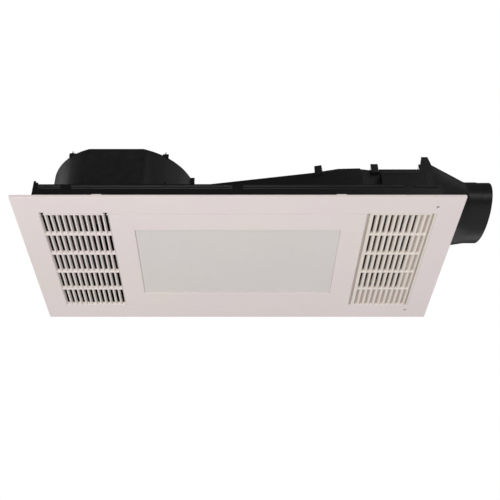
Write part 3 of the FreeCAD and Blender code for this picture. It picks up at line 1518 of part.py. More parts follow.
def rim_cutter():
    """A block whose near face is the leaning plane of the spigot's rim."""
    lean_near = math.tan(math.radians(size("rim_lean_near")))
    lean_up = math.tan(math.radians(size("rim_lean_up")))
    normal = V(1, lean_near, -lean_up)
    side = 4 * size("spigot_radius")
    cutter = Part.makeBox(side, side, side, V(0, -side / 2, -side / 2))
    at = V(size("lead_x") + size("rim_reach"), size("spigot_y"), size("spigot_z"))
    cutter.Placement = FreeCAD.Placement(at, FreeCAD.Rotation(V(1, 0, 0), normal))
    return cutter


def duct_adaptor():
    """Flanged hopper from the square duct to the round spigot, with the flap's frame and ears inside."""
    wall = size("adaptor_wall")
    flange_x, plate = size("flange_x"), size("adaptor_plate")
    y0, z0 = size("spigot_y"), size("spigot_z")
    axis = V(1, 0, 0)
    outer = adaptor_taper(0)
    straight = size("spigot_length")
    barrel_at = V(size("round_x"), y0, z0)
    outer = outer.fuse(Part.makeCylinder(size("spigot_radius"), straight, barrel_at, axis))
    lead_at = V(size("lead_x"), y0, z0)
    lead_radius = size("spigot_radius") - size("spigot_lead")
    lead_length = size("rim_reach") + size("spigot_radius")
    lead = Part.makeCylinder(lead_radius, lead_length, lead_at, axis).cut(rim_cutter())
    outer = outer.fuse(lead)
    inner = adaptor_taper(wall)
    bore_length = straight + lead_length
    inner = inner.fuse(Part.makeCylinder(size("spigot_radius") - wall, bore_length, barrel_at, axis))
    shape = outer.cut(inner)
    reach = size("end_flange_reach")
    flange_y = (size("duct_near_y") - reach, size("duct_far_y") + reach)
    flange_z = (size("roof_z") + size("insert_gap"), size("lid_top_z"))
    shape = shape.fuse(solid_box((flange_x, flange_x + plate), flange_y, flange_z))
    half = size("flap_opening") / 2
    rim = half + size("flap_seat_wall")
    seat_x = (flange_x, size("flap_pin_x") - size("flap_plate") / 2 - size("flap_gap"))
    shape = shape.fuse(solid_box(seat_x, (y0 - rim, y0 + rim), (z0 - rim, z0 + rim)))
    shape = shape.cut(solid_box(seat_x, (y0 - half, y0 + half), (z0 - half, z0 + half)))
    shape = shape.fuse(hanger_lug())
    for ear in flap_ears():
        shape = shape.fuse(ear)
    pin_hole = size("flap_pin_radius") + size("shaft_fit")
    ear_run = half + size("flap_overlap") + size("insert_gap") + size("flap_ear")
    pin_at = V(size("flap_pin_x"), y0 - ear_run, size("flap_pin_z"))
    shape = shape.cut(Part.makeCylinder(pin_hole, 2 * ear_run, pin_at, V(0, 1, 0)))
    for screw_y, screw_z in adaptor_screw_places():
        hole = size("adaptor_screw_radius") + size("hole_clearance")
        shape = shape.cut(Part.makeCylinder(hole, plate, V(flange_x, screw_y, screw_z), axis))
    return shape_node("duct_adaptor", shape.removeSplitter())


def flap_ears():
    """Two ears inside the adaptor that hold the flap's pin."""
    x = (size("flange_x") + size("adaptor_plate"), size("flap_pin_x") + size("flap_sleeve_radius"))
    z = (size("flap_pin_z") - 2 * size("flap_sleeve_radius"), size("lid_top_z") - size("adaptor_wall"))
    start = size("flap_opening") / 2 + size("flap_overlap") + size("insert_gap")
    end = start + size("flap_ear")
    y0 = size("spigot_y")
    return [solid_box(x, (y0 - end, y0 - start), z), solid_box(x, (y0 + start, y0 + end), z)]


def hanger_lug():
    """Tapered lug on the near top corner of the adaptor's flange."""
    centre_x = size("flange_x") + size("adaptor_plate") + size("hanger_shift")
    near_y = size("duct_near_y") - size("end_flange_reach")
    base, tip = size("hanger_base") / 2, size("hanger_tip") / 2
    low, gap = size("lid_top_z"), size("insert_gap")
    high = low + size("hanger_height")
    points = [
        V(centre_x - base, near_y, low + gap),
        V(centre_x + base, near_y, low + gap),
        V(centre_x + tip, near_y, high),
        V(centre_x - tip, near_y, high),
    ]
    face = Part.Face(Part.makePolygon(points + points[:1]))
    lug = face.extrude(V(0, size("hanger_depth"), 0))
    foot_x = (size("flange_x"), centre_x + base)
    foot_y = (near_y, near_y + size("hanger_depth"))
    return lug.fuse(solid_box(foot_x, foot_y, (low - size("adaptor_wall"), low + gap)))


def adaptor_screws():
    screws = []
    head = (size("adaptor_screw_head"), size("adaptor_screw_head_height"))
    length = size("adaptor_plate") + size("end_flange_plate")
    seat_x = size("flange_x") + size("adaptor_plate")
    for y, z in adaptor_screw_places():
        seat = V(seat_x, y, z)
        screws.append(screw_shape(seat, V(1, 0, 0), *head, size("adaptor_screw_radius"), length))
    return shape_node("adaptor_screws", Part.makeCompound(screws))


def backdraft_flap():
    """Light flap that hangs over the adaptor's opening and lifts with the air stream."""
    half = "flap_opening / 2 + flap_overlap"
    y = span("spigot_y", f"2 * ({half})")
    leaf = block("flap_leaf", span("flap_pin_x", "flap_plate"), y, ("flap_low_z", "flap_pin_z"))
    pin_at = ("flap_pin_x", y[0], "flap_pin_z")
    sleeve = rod("flap_tube", pin_at, "flap_sleeve_radius", f"2 * ({half})", "y")
    bore = rod("flap_tube_bore", pin_at, "flap_pin_radius + shaft_fit", f"2 * ({half})", "y")
    return node("backdraft_flap", cut("flap", fuse("flap_solid", leaf, sleeve), bore))


def flap_pin():
    half = "(flap_opening / 2 + flap_overlap + insert_gap + flap_ear)"
    at = ("flap_pin_x", f"spigot_y - {half}", "flap_pin_z")
    return node("flap_pin", rod("flap_pin_rod", at, "flap_pin_radius", f"2 * {half}", "y"))


def cover_screw_places():
    ends = {"left": "box_x + cover_screw_inset", "right": "box_x + box_length - cover_screw_inset"}
    sides = {"near": "box_y + cover_screw_inset", "far": "gland_y - cover_screw_inset"}
    for end_name, x in ends.items():
        for side_name, y in sides.items():
            yield f"{side_name}_{end_name}", x, y


def terminal_box():
    """Wiring box on the roof of the tray, behind the duct."""
    x = ("box_x", "box_x + box_length")
    y = ("box_y", "gland_y")
    outer = block("box_outer", x, y, ("roof_z", "box_top_z"))
    inner_x = ("box_x + box_wall", "box_x + box_length - box_wall")
    inner_y = ("box_y + box_wall", "gland_y - box_wall")
    inner = block("box_inner", inner_x, inner_y, ("roof_z + box_wall", "box_top_z"))
    added = [cut("box_shell", outer, inner)]
    wire_at = ("box_x + box_length / 2", "box_y + box_width / 2", "roof_z")
    removed = [rod("box_wire_hole", wire_at, "wire_hole_radius", "box_wall")]
    gland_at = ("gland_x", "gland_y - box_wall", "gland_z")
    removed.append(rod("box_gland_hole", gland_at, "gland_radius", "box_wall", "y"))
    for name, post_x, post_y in cover_screw_places():
        added.append(rod(f"post_{name}", (post_x, post_y, "roof_z"), "cover_post_radius", "box_height"))
        hole_at = (post_x, post_y, "box_top_z - cover_screw_bite - insert_gap")
        radius = "cover_screw_radius + hole_clearance"
        removed.append(rod(f"post_hole_{name}", hole_at, radius, "cover_screw_bite + insert_gap"))
    board_x = "box_x + board_inset"
    for index, (end, side) in enumerate(((0, 0), (0, 1), (1, 0), (1, 1))):
        post_x = f"{board_x} + cover_post_radius + {end} * (board_length - 2 * cover_post_radius)"
        post_y = f"box_y + board_inset + cover_post_radius + {side} * (board_width - 2 * cover_post_radius)"
        post_at = (post_x, post_y, "roof_z")
        added.append(rod(f"board_post_{index}", post_at, "cover_post_radius", "box_wall + board_rise"))
    return node("terminal_box", cut("wiring_box", fuse("wiring_box_solid", *added), *removed))


def box_cover():
    x = ("box_x", "box_x + box_length")
    plate = block("cover_sheet", x, ("box_y", "gland_y"), ("box_top_z", "box_top_z + cover_plate"))
    holes = []
    for name, x, y in cover_screw_places():
        radius = "cover_screw_radius + hole_clearance"
        holes.append(rod(f"cover_hole_{name}", (x, y, "box_top_z"), radius, "cover_plate"))
    return node("box_cover", cut("cover", plate, *holes))


def cover_screws():
    screws = []
    for name, x, y in cover_screw_places():
        top = "box_top_z + cover_plate"
        head = rod(f"cover_head_{name}", (x, y, top), "cover_screw_head", "cover_screw_head_height")
        low = "box_top_z - cover_screw_bite"
        length = "cover_screw_bite + cover_plate"
        shank = rod(f"cover_shank_{name}", (x, y, low), "cover_screw_radius", length)
        screws.append(fuse(f"cover_screw_{name}", head, shank))
    return node("cover_screws", group("cover_screw_set", screws))


def control_board():
    """Relay board for fan, heater, damper and light."""
    x0 = "box_x + board_inset"
    y0 = "box_y + board_inset"
    z0 = "roof_z + box_wall + board_rise"
    board_x = (x0, f"{x0} + board_length")
    board_y = (y0, f"{y0} + board_width")
    board = block("board_sheet", board_x, board_y, (z0, f"{z0} + board_plate"))
    parts = [board]
    for index in range(int(size("bar_count"))):
        left = f"{x0} + cover_post_radius + {index} * board_length / bar_count"
        relay_x = (left, f"{left} + terminal_height")
        relay_y = (f"{y0} + board_plate", f"{y0} + board_plate + terminal_width")
        top = f"{z0} + board_plate + terminal_height"
        parts.append(block(f"relay_{index}", relay_x, relay_y, (f"{z0} + board_plate", top)))
    return node("control_board", fuse("board", *parts))


def terminal_block():
    """Screw terminals for the supply wires, with one well per wire."""
    right = "box_x + box_length - box_wall - board_inset"
    x = (f"{right} - terminal_length", right)
    near = "box_y + board_inset"
    low = "roof_z + box_wall"
    y = (near, f"{near} + terminal_width")
    base = block("terminal_base", x, y, (low, f"{low} + terminal_height"))
    wells = []
    for way in range(int(size("terminal_ways"))):
        centre = f"{right} - terminal_length * (2 * {way} + 1) / (2 * terminal_ways)"
        at = (centre, f"{near} + terminal_width / 2", "roof_z + box_wall + terminal_height / 2")
        wells.append(rod(f"well_{way}", at, "terminal_length / terminal_ways / 3", "terminal_height / 2"))
    return node("terminal_block", cut("terminals", base, *wells))


def cable_gland():
    """Gland for the supply cable in the far wall of the wiring box."""
    at = ("gland_x", "gland_y - box_wall", "gland_z")
    stem = rod("gland_stem", at, "gland_radius", "box_wall + gland_nut_length + gland_length", "y")
    nut_at = ("gland_x", "gland_y", "gland_z")
    nut = hexagon("gland_hex", nut_at, "gland_nut_radius", "gland_nut_length", "y")
    bore = rod("gland_hole", at, "gland_bore", "box_wall + gland_nut_length + gland_length", "y")
    return node("cable_gland", cut("gland", fuse("gland_solid", stem, nut), bore))


PIECES = (
    panel_frame, center_fascia, intake_grille, outlet_grille, panel_screws,
    light_diffuser, light_pan, light_screws, led_boards, led_chips, led_driver,
    body_tray, fan_casing, casing_lid, lid_screws, inlet_ring,
    impeller, impeller_nut, motor_shaft, motor_rotor,
    motor_body, motor_bearings, motor_stator, motor_bracket, motor_bushes, motor_screws,
    heater_box, ptc_bars, heater_fins, heater_end_caps, heater_terminals, thermal_cutout,
    damper_flap, damper_shaft, damper_bushes, damper_motor,
    duct_adaptor, adaptor_screws, backdraft_flap, flap_pin,
    terminal_box, box_cover, cover_screws, control_board, terminal_block, cable_gland,
)


def check_and_write():
    """Stop on any failed feature or bad shape, then write each sub-part."""
    doc.recompute()
    failed = [thing.Name for thing in doc.Objects if {"Invalid", "Error"} & set(thing.State)]
    if failed:
        raise RuntimeError("failed features: " + ", ".join(failed))
    for name, thing in nodes:
        if thing.Shape.isNull() or not thing.Shape.isValid() or not thing.Shape.Solids:
            raise RuntimeError("bad shape: " + name)
    os.makedirs("parts", exist_ok=True)
    for name, thing in nodes:
        thing.Shape.exportStep(f"parts/{name}.step")
        print(f"{name}: {len(thing.Shape.Solids)} solids, {thing.Shape.Volume / 1000:.2f} cm3")


fill_sheets()
for piece in PIECES:
    piece()
check_and_write()
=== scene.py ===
import json
import math

import bpy
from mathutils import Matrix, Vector


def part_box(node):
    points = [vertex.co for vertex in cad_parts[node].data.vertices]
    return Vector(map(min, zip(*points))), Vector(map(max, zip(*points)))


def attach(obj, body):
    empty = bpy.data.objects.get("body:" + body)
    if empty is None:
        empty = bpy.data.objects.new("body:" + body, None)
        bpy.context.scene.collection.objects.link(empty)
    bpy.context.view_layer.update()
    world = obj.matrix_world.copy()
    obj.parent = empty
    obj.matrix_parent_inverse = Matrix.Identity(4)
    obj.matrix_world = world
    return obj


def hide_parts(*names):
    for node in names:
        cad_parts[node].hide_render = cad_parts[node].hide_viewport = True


# A ceiling fan heater with a light, seen from below. The CAD pieces are the fixed frame, in metres.

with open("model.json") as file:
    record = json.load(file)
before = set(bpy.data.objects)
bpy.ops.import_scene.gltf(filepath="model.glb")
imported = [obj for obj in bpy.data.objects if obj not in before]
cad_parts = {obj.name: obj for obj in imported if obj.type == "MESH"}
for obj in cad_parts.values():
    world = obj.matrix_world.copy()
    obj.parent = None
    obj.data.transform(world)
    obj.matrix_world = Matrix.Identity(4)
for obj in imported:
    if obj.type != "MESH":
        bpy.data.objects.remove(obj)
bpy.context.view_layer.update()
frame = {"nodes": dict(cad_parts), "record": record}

MM = 0.001
HOUSING = "housing"

# The photograph's camera: below the panel, looking up and away along +Y.
CAMERA_PLACE = (-0.0060, -1.0278, -0.7272)
CAMERA_PITCH = math.radians(126.0)
CAMERA_LENS = 58.2
CAMERA_SENSOR = 36.0
CAMERA_SHIFT_X = 0.0328
CAMERA_NEAR = 0.01

# The floor's height and side, the light it gives off and how bright it looks.
FLOOR_Z = -2.4
FLOOR_SIDE = 60.0
FLOOR_GLOW = 0.325
FLOOR_SEEN = 0.6

# The white surround's strength as a light and as the camera sees it.
SURROUND_GLOW = 0.09
SURROUND_SEEN = 1.0

# Soft lights round the part: place, aim, side in metres and power in watts.
LIGHTS = {
    "key": ((-2.6, -1.0, -2.2), (0.0, 0.0, 0.0), 1.6, 44),
    "front": ((-0.2, -1.3, -0.55), (0.0, 0.0, 0.0), 0.8, 10.5),
    "front_top": ((1.3, -2.5, 1.4), (0.3, 0.0, 0.08), 0.5, 4.4),
    "right_top": ((1.7, -0.5, 1.6), (0.0, 0.0, 0.08), 1.2, 1.2),
    "back_low": ((0.92, 1.4, -1.1), (0.37, 0.0, 0.07), 1.0, 2.5),
    "left": ((-2.0, 0.25, 0.8), (-0.2, 0.0, 0.08), 1.0, 7),
    "right": ((1.8, 0.6, 0.9), (0.0, 0.0, 0.08), 1.0, 6),
    "rear": ((0.1, 2.2, 1.9), (0.1, 0.0, 0.0), 1.6, 32),
}

# Height of the panel's face, which the grilles share.
FACE_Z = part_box("panel_frame")[0][2]

# The grilles' slots, as the CAD pieces have them.
GRILLE_RIM = 0.6 * MM
OUTLET_INSET = 9.0 * MM
SLOT_WIDTH = 6.2 * MM
SLOT_END_Y = 120.5 * MM
INTAKE_DEPTH = 4.8 * MM
OUTLET_DEPTH = 3.8 * MM

# Depth behind the face at which the painted shade in the intake's slots is full.
INTAKE_PAINTED_SHADE_DEPTH = 0.9 * MM

# Columns, pitch and depth of each grille's slots, and how far their left and right walls lean along +X.
LEANING = {
    "intake_grille": (12, 8.31 * MM, INTAKE_DEPTH, (-0.2 * MM, 0.0)),
    "outlet_grille": (10, 8.48 * MM, OUTLET_DEPTH, (0.0, -0.75 * MM)),
}

# Limits for joining a CAD piece's triangles, for easing its edges and for smooth shading.
MERGE_DISTANCE = 2e-6
FLAT_ANGLE = math.radians(0.6)
EASE_ANGLE = math.radians(38)
EASE_STEPS = 2
SMOOTH_ANGLE = math.radians(32)

# How squarely a face looks along an axis to count as facing it.
FACING = 0.9

# A cross screw's shape, in shares of its head's radius and height.
SCREW_SIDES = 32
HEAD_HEIGHT = 0.8
DOME_STEPS = ((0.22, 0.16), (0.30, 0.06))
RECESS_LENGTH = 1.15
RECESS_WIDTH = 0.26
RECESS_DEPTH = 0.62
RECESS_TAPER = 0.45


def only(piece):
    """Select one piece alone and make it active."""
    bpy.ops.object.select_all(action="DESELECT")
    piece.select_set(True)
    bpy.context.view_layer.objects.active = piece


def apply_modifiers(piece):
    """Apply all of a piece's modifiers in their order."""
    only(piece)
    for modifier in list(piece.modifiers):
        bpy.ops.object.modifier_apply(modifier=modifier.name)


def merged_copy(node, name):
    """A copy of a CAD piece with its loose triangles joined into quads where they are flat."""
    piece = bpy.data.objects.new(name, frame["nodes"][node].data.copy())
    bpy.context.scene.collection.objects.link(piece)
    only(piece)
    if piece.data.has_custom_normals:
        bpy.ops.mesh.customdata_custom_splitnormals_clear()
    bpy.ops.object.mode_set(mode="EDIT")
    bpy.ops.mesh.select_all(action="SELECT")
    bpy.ops.mesh.remove_doubles(threshold=MERGE_DISTANCE)
    bpy.ops.mesh.tris_convert_to_quads(face_threshold=FLAT_ANGLE, shape_threshold=math.pi)
    bpy.ops.object.mode_set(mode="OBJECT")
    return piece


def body_of(node):
    """The moving body that holds a CAD node."""
    for body, members in frame["record"]["behaviour"]["bodies"].items():
        if node in members:
            return body
    return HOUSING


def slot_of(node):
    """The material slot that the record gives a CAD node."""
    for entry in frame["record"]["subparts"]:
        if entry["node"] == node:
            return entry["material_slot"]
    return None


def settle(piece, node, material):
    """Dress a piece, ride it on its body and let it stand for its CAD node."""
    piece.data.materials.clear()
    piece.data.materials.append(material)
    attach(piece, body_of(node))
    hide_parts(node)


def lean_slots(piece, node):
    """Slope the left and right walls of each slot a little more or less than the mould's draft."""
    columns, pitch, depth, leans = LEANING[node]
    low, high = (Vector(corner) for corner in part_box(node))
    first_x = low.x + OUTLET_INSET
    if node == "intake_grille":
        first_x = high.x - GRILLE_RIM - SLOT_WIDTH - (columns - 1) * pitch
    for vertex in piece.data.vertices:
        column, inside = divmod(vertex.co.x - first_x, pitch)
        in_slot = 0 <= column < columns and inside < SLOT_WIDTH and abs(vertex.co.y) < SLOT_END_Y
        if in_slot:
            lean = leans[0] if inside < SLOT_WIDTH / 2 else leans[1]
            vertex.co.x += lean * min(1, (vertex.co.z - low.z) / depth)


def eased(node, ease, material):
    """A CAD piece with its sharp edges rounded as a mould leaves them."""
    piece = merged_copy(node, node + "_eased")
    if node in LEANING:
        lean_slots(piece, node)
    bevel = piece.modifiers.new("ease", "BEVEL")
    bevel.width = ease
    bevel.segments = EASE_STEPS
    bevel.limit_method = "ANGLE"
    bevel.angle_limit = EASE_ANGLE
    bevel.use_clamp_overlap = False
    bevel.harden_normals = False
    apply_modifiers(piece)
    bpy.ops.object.shade_smooth_by_angle(angle=SMOOTH_ANGLE)
    weigh = piece.modifiers.new("flat_faces", "WEIGHTED_NORMAL")
    weigh.keep_sharp = True
    apply_modifiers(piece)
    settle(piece, node, material)


def loose_boxes(node):
    """Lowest and highest corner of each separate solid in a CAD piece."""
    piece = merged_copy(node, node + "_parts")
    bpy.ops.mesh.separate(type="LOOSE")
    parts = list(bpy.context.selected_objects)
    boxes = []
    for part in parts:
        points = [vertex.co for vertex in part.data.vertices]
        low = Vector([min(point[axis] for point in points) for axis in range(3)])
        high = Vector([max(point[axis] for point in points) for axis in range(3)])
        boxes.append((low, high))
    for part in parts:
        bpy.data.objects.remove(part)
    return boxes


def select_facing(piece, way):
    """Select the faces that look up where way is 1, or down where it is -1, from object mode."""
    for polygon in piece.data.polygons:
        polygon.select = way * polygon.normal.z > FACING
    for edge in piece.data.edges:
        edge.select = False
    for vertex in piece.data.vertices:
        vertex.select = False
    for polygon in piece.data.polygons:
        if polygon.select:
            for index in polygon.vertices:
                piece.data.vertices[index].select = True


def cross_screw(name, head_radius, head_height, shank_radius, shank_length):
    """A domed screw with a cross recess, its head's seat at the origin and its head along +Z."""
    bpy.ops.object.select_all(action="DESELECT")
    bpy.ops.mesh.primitive_cylinder_add(
        vertices=SCREW_SIDES, radius=head_radius, depth=head_height, location=(0, 0, head_height / 2)
    )
    screw = bpy.context.active_object
    screw.name = name
    bpy.ops.object.transform_apply(location=True, rotation=True, scale=True)
    select_facing(screw, 1)
    bpy.ops.object.mode_set(mode="EDIT")
    bpy.ops.mesh.select_mode(type="FACE")
    for inward, upward in DOME_STEPS:
        bpy.ops.mesh.inset(thickness=head_radius * inward, depth=head_height * upward)
    bpy.ops.object.mode_set(mode="OBJECT")
    top = max(vertex.co.z for vertex in screw.data.vertices)
    for vertex in screw.data.vertices:
        if vertex.co.z > 0:
            vertex.co.z *= head_height / top
    select_facing(screw, -1)
    bpy.ops.object.mode_set(mode="EDIT")
    bpy.ops.mesh.inset(thickness=head_radius - shank_radius, depth=0)
    bpy.ops.mesh.extrude_region_move(TRANSFORM_OT_translate={"value": (0, 0, -shank_length)})
    bpy.ops.object.mode_set(mode="OBJECT")
    cut_recess(screw, head_radius, head_height)
    only(screw)
    bpy.ops.object.shade_smooth_by_angle(angle=SMOOTH_ANGLE)
    return screw


def cut_recess(screw, head_radius, head_height):
    """Cut two crossed tapering grooves into a screw's head."""
    depth = head_height * RECESS_DEPTH
    for turn in (0.0, math.pi / 2):
        bpy.ops.object.select_all(action="DESELECT")
        bpy.ops.mesh.primitive_cube_add(size=1, location=(0, 0, head_height), rotation=(0, 0, turn))
        groove = bpy.context.active_object
        groove.scale = (head_radius * RECESS_LENGTH, head_radius * RECESS_WIDTH, 2 * depth)
        bpy.ops.object.transform_apply(location=True, rotation=True, scale=True)
        select_facing(groove, -1)
        bpy.ops.object.mode_set(mode="EDIT")
        taper = (RECESS_TAPER, RECESS_TAPER, 1)
        bpy.ops.transform.resize(value=taper, center_override=(0, 0, head_height - depth))
        bpy.ops.object.mode_set(mode="OBJECT")
        cutter = screw.modifiers.new("recess", "BOOLEAN")
        cutter.operation = "DIFFERENCE"
        cutter.object = groove
        apply_modifiers(screw)
        bpy.data.objects.remove(groove)


def screw_set(node, axis, material, shank_share):
    """Cross-recessed screws in the places of a CAD screw set, heads along the given axis."""
    boxes = loose_boxes(node)
    along = [abs(value) > 0.5 for value in axis].index(True)
    across = (along + 1) % 3
    low, high = boxes[0]
    head_radius = (high[across] - low[across]) / 2
    head_height = head_radius * HEAD_HEIGHT
    screws = []
    for low, high in boxes:
        length = high[along] - low[along] - head_height
        screw = cross_screw(node + "_screw", head_radius, head_height, head_radius * shank_share, length)
        seat = (low + high) / 2
        toward = axis[along]
        seat[along] = (high[along] - head_height) if toward > 0 else (low[along] + head_height)
        turn = Vector((0, 0, 1)).rotation_difference(Vector(axis)).to_euler()
        screw.rotation_euler = turn
        screw.location = seat
        only(screw)
        bpy.ops.object.transform_apply(location=True, rotation=True, scale=True)
        screws.append(screw)
    bpy.ops.object.select_all(action="DESELECT")
    for screw in screws:
        screw.select_set(True)
    bpy.context.view_layer.objects.active = screws[0]
    bpy.ops.object.join()
    joined = bpy.context.active_object
    joined.name = node + "_cross"
    settle(joined, node, material)


def add(tree, kind, settings=None, values=None):
    """Add a shader node with its settings and plain input values."""
    made = tree.nodes.new("ShaderNode" + kind)
    for key, value in (settings or {}).items():
        setattr(made, key, value)
    for key, value in (values or {}).items():
        made.inputs[key].default_value = value
    return made


def shader_group(name, inputs, outputs):
    """An empty node group with named sockets, and its two ends."""
    tree = bpy.data.node_groups.new(name, "ShaderNodeTree")
    for label, kind, value in inputs:
        socket = tree.interface.new_socket(label, in_out="INPUT", socket_type="NodeSocket" + kind)
        socket.default_value = value
    for label, kind in outputs:
        tree.interface.new_socket(label, in_out="OUTPUT", socket_type="NodeSocket" + kind)
    return tree, tree.nodes.new("NodeGroupInput"), tree.nodes.new("NodeGroupOutput")


def use_group(tree, group, values):
    """Place a node group in a material with its own values."""
    made = tree.nodes.new("ShaderNodeGroup")
    made.node_tree = group
    for key, value in values.items():
        made.inputs[key].default_value = value
    return made


def spread(tree, source, low, high):
    """Map a texture's middle range to low and high."""
    ramp = add(tree, "MapRange", values={"From Min": 0.3, "From Max": 0.7, "To Min": low, "To Max": high})
    tree.links.new(source, ramp.inputs["Value"])
    return ramp.outputs["Result"]


def moulded_surface_group():
    """Slow drift of tone, patches of gloss and the fine grain of a moulded skin."""
    tree, start, end = shader_group(
        "moulded_surface",
        [
            ("Tone", "Color", (0.5, 0.5, 0.5, 1)),
            ("Second Tone", "Color", (0.5, 0.5, 0.5, 1)),
            ("Drift", "Float", 0.03),
            ("Drift Scale", "Float", 5.0),
            ("Grain Scale", "Float", 2200.0),
            ("Roughness", "Float", 0.5),
            ("Gloss Patch", "Float", 0.02),
        ],
        [("Color", "Color"), ("Roughness", "Float"), ("Height", "Float")],
    )
    place = add(tree, "TexCoord").outputs["Object"]
    drift = add(tree, "TexNoise", values={"Detail": 3.0, "Roughness": 0.55})
    tree.links.new(place, drift.inputs["Vector"])
    tree.links.new(start.outputs["Drift Scale"], drift.inputs["Scale"])
    swing = add(tree, "Math", {"operation": "MULTIPLY_ADD"})
    tree.links.new(spread(tree, drift.outputs["Fac"], -1.0, 1.0), swing.inputs[0])
    tree.links.new(start.outputs["Drift"], swing.inputs[1])
    swing.inputs[2].default_value = 1.0
    hue = add(tree, "TexNoise", values={"Scale": 7.0, "Detail": 1.0})
    tree.links.new(place, hue.inputs["Vector"])
    mixed = add(tree, "Mix", {"data_type": "RGBA"})
    tree.links.new(spread(tree, hue.outputs["Fac"], 0.0, 1.0), mixed.inputs["Factor"])
    tree.links.new(start.outputs["Tone"], mixed.inputs[6])
    tree.links.new(start.outputs["Second Tone"], mixed.inputs[7])
    toned = add(tree, "VectorMath", {"operation": "SCALE"})
    tree.links.new(mixed.outputs[2], toned.inputs[0])
    tree.links.new(swing.outputs[0], toned.inputs["Scale"])
    patch = add(tree, "TexNoise", values={"Scale": 38.0, "Detail": 4.0})
    tree.links.new(place, patch.inputs["Vector"])
    gloss = add(tree, "Math", {"operation": "MULTIPLY_ADD"})
    tree.links.new(spread(tree, patch.outputs["Fac"], -1.0, 1.0), gloss.inputs[0])
    tree.links.new(start.outputs["Gloss Patch"], gloss.inputs[1])
    tree.links.new(start.outputs["Roughness"], gloss.inputs[2])
    grain = add(tree, "TexNoise", values={"Detail": 2.0, "Roughness": 0.6})
    tree.links.new(place, grain.inputs["Vector"])
    tree.links.new(start.outputs["Grain Scale"], grain.inputs["Scale"])
    tree.links.new(toned.outputs["Vector"], end.inputs["Color"])
    tree.links.new(gloss.outputs[0], end.inputs["Roughness"])
    tree.links.new(grain.outputs["Fac"], end.inputs["Height"])
    return tree


def rubbed_and_highlit_edges_group():
    """Lighter edges, partly rubbed by handling and partly a painted highlight, broken up so that they
    don't look drawn.
    """
    tree, start, end = shader_group(
        "rubbed_and_highlit_edges",
        [
            ("Color", "Color", (0.5, 0.5, 0.5, 1)),
            ("Edge Color", "Color", (0.8, 0.8, 0.8, 1)),
            ("Amount", "Float", 0.4),
        ],
        [("Color", "Color")],
    )
    shape = add(tree, "NewGeometry")
    sharp = add(tree, "MapRange", values={"From Min": 0.52, "From Max": 0.62})
    tree.links.new(shape.outputs["Pointiness"], sharp.inputs["Value"])
    place = add(tree, "TexCoord").outputs["Object"]
    breaks = add(tree, "TexNoise", values={"Scale": 120.0, "Detail": 4.0})
    tree.links.new(place, breaks.inputs["Vector"])
    broken = add(tree, "Math", {"operation": "MULTIPLY"})
    tree.links.new(sharp.outputs["Result"], broken.inputs[0])
    tree.links.new(spread(tree, breaks.outputs["Fac"], 0.2, 1.0), broken.inputs[1])
    share = add(tree, "Math", {"operation": "MULTIPLY", "use_clamp": True})
    tree.links.new(broken.outputs[0], share.inputs[0])
    tree.links.new(start.outputs["Amount"], share.inputs[1])
    mixed = add(tree, "Mix", {"data_type": "RGBA"})
    tree.links.new(share.outputs[0], mixed.inputs["Factor"])
    tree.links.new(start.outputs["Color"], mixed.inputs[6])
    tree.links.new(start.outputs["Edge Color"], mixed.inputs[7])
    tree.links.new(mixed.outputs[2], end.inputs["Color"])
    return tree


def settled_dust_group():
    """Thin dust on faces that look up."""
    tree, start, end = shader_group(
        "settled_dust",
        [
            ("Color", "Color", (0.5, 0.5, 0.5, 1)),
            ("Dust Color", "Color", (0.35, 0.33, 0.30, 1)),
            ("Amount", "Float", 0.2),
        ],
        [("Color", "Color")],
    )
    shape = add(tree, "NewGeometry")
    split = add(tree, "SeparateXYZ")
    tree.links.new(shape.outputs["Normal"], split.inputs[0])
    facing = add(tree, "MapRange", values={"From Min": 0.55, "From Max": 0.95})
    tree.links.new(split.outputs["Z"], facing.inputs["Value"])
    place = add(tree, "TexCoord").outputs["Object"]
    clumps = add(tree, "TexNoise", values={"Scale": 45.0, "Detail": 6.0, "Roughness": 0.65})
    tree.links.new(place, clumps.inputs["Vector"])
    lying = add(tree, "Math", {"operation": "MULTIPLY"})
    tree.links.new(facing.outputs["Result"], lying.inputs[0])
    tree.links.new(spread(tree, clumps.outputs["Fac"], 0.6, 1.0), lying.inputs[1])
    cover = add(tree, "Math", {"operation": "MULTIPLY", "use_clamp": True})
    tree.links.new(lying.outputs[0], cover.inputs[0])
    tree.links.new(start.outputs["Amount"], cover.inputs[1])
    mixed = add(tree, "Mix", {"data_type": "RGBA"})
    tree.links.new(cover.outputs[0], mixed.inputs["Factor"])
    tree.links.new(start.outputs["Color"], mixed.inputs[6])
    tree.links.new(start.outputs["Dust Color"], mixed.inputs[7])
    tree.links.new(mixed.outputs[2], end.inputs["Color"])
    return tree


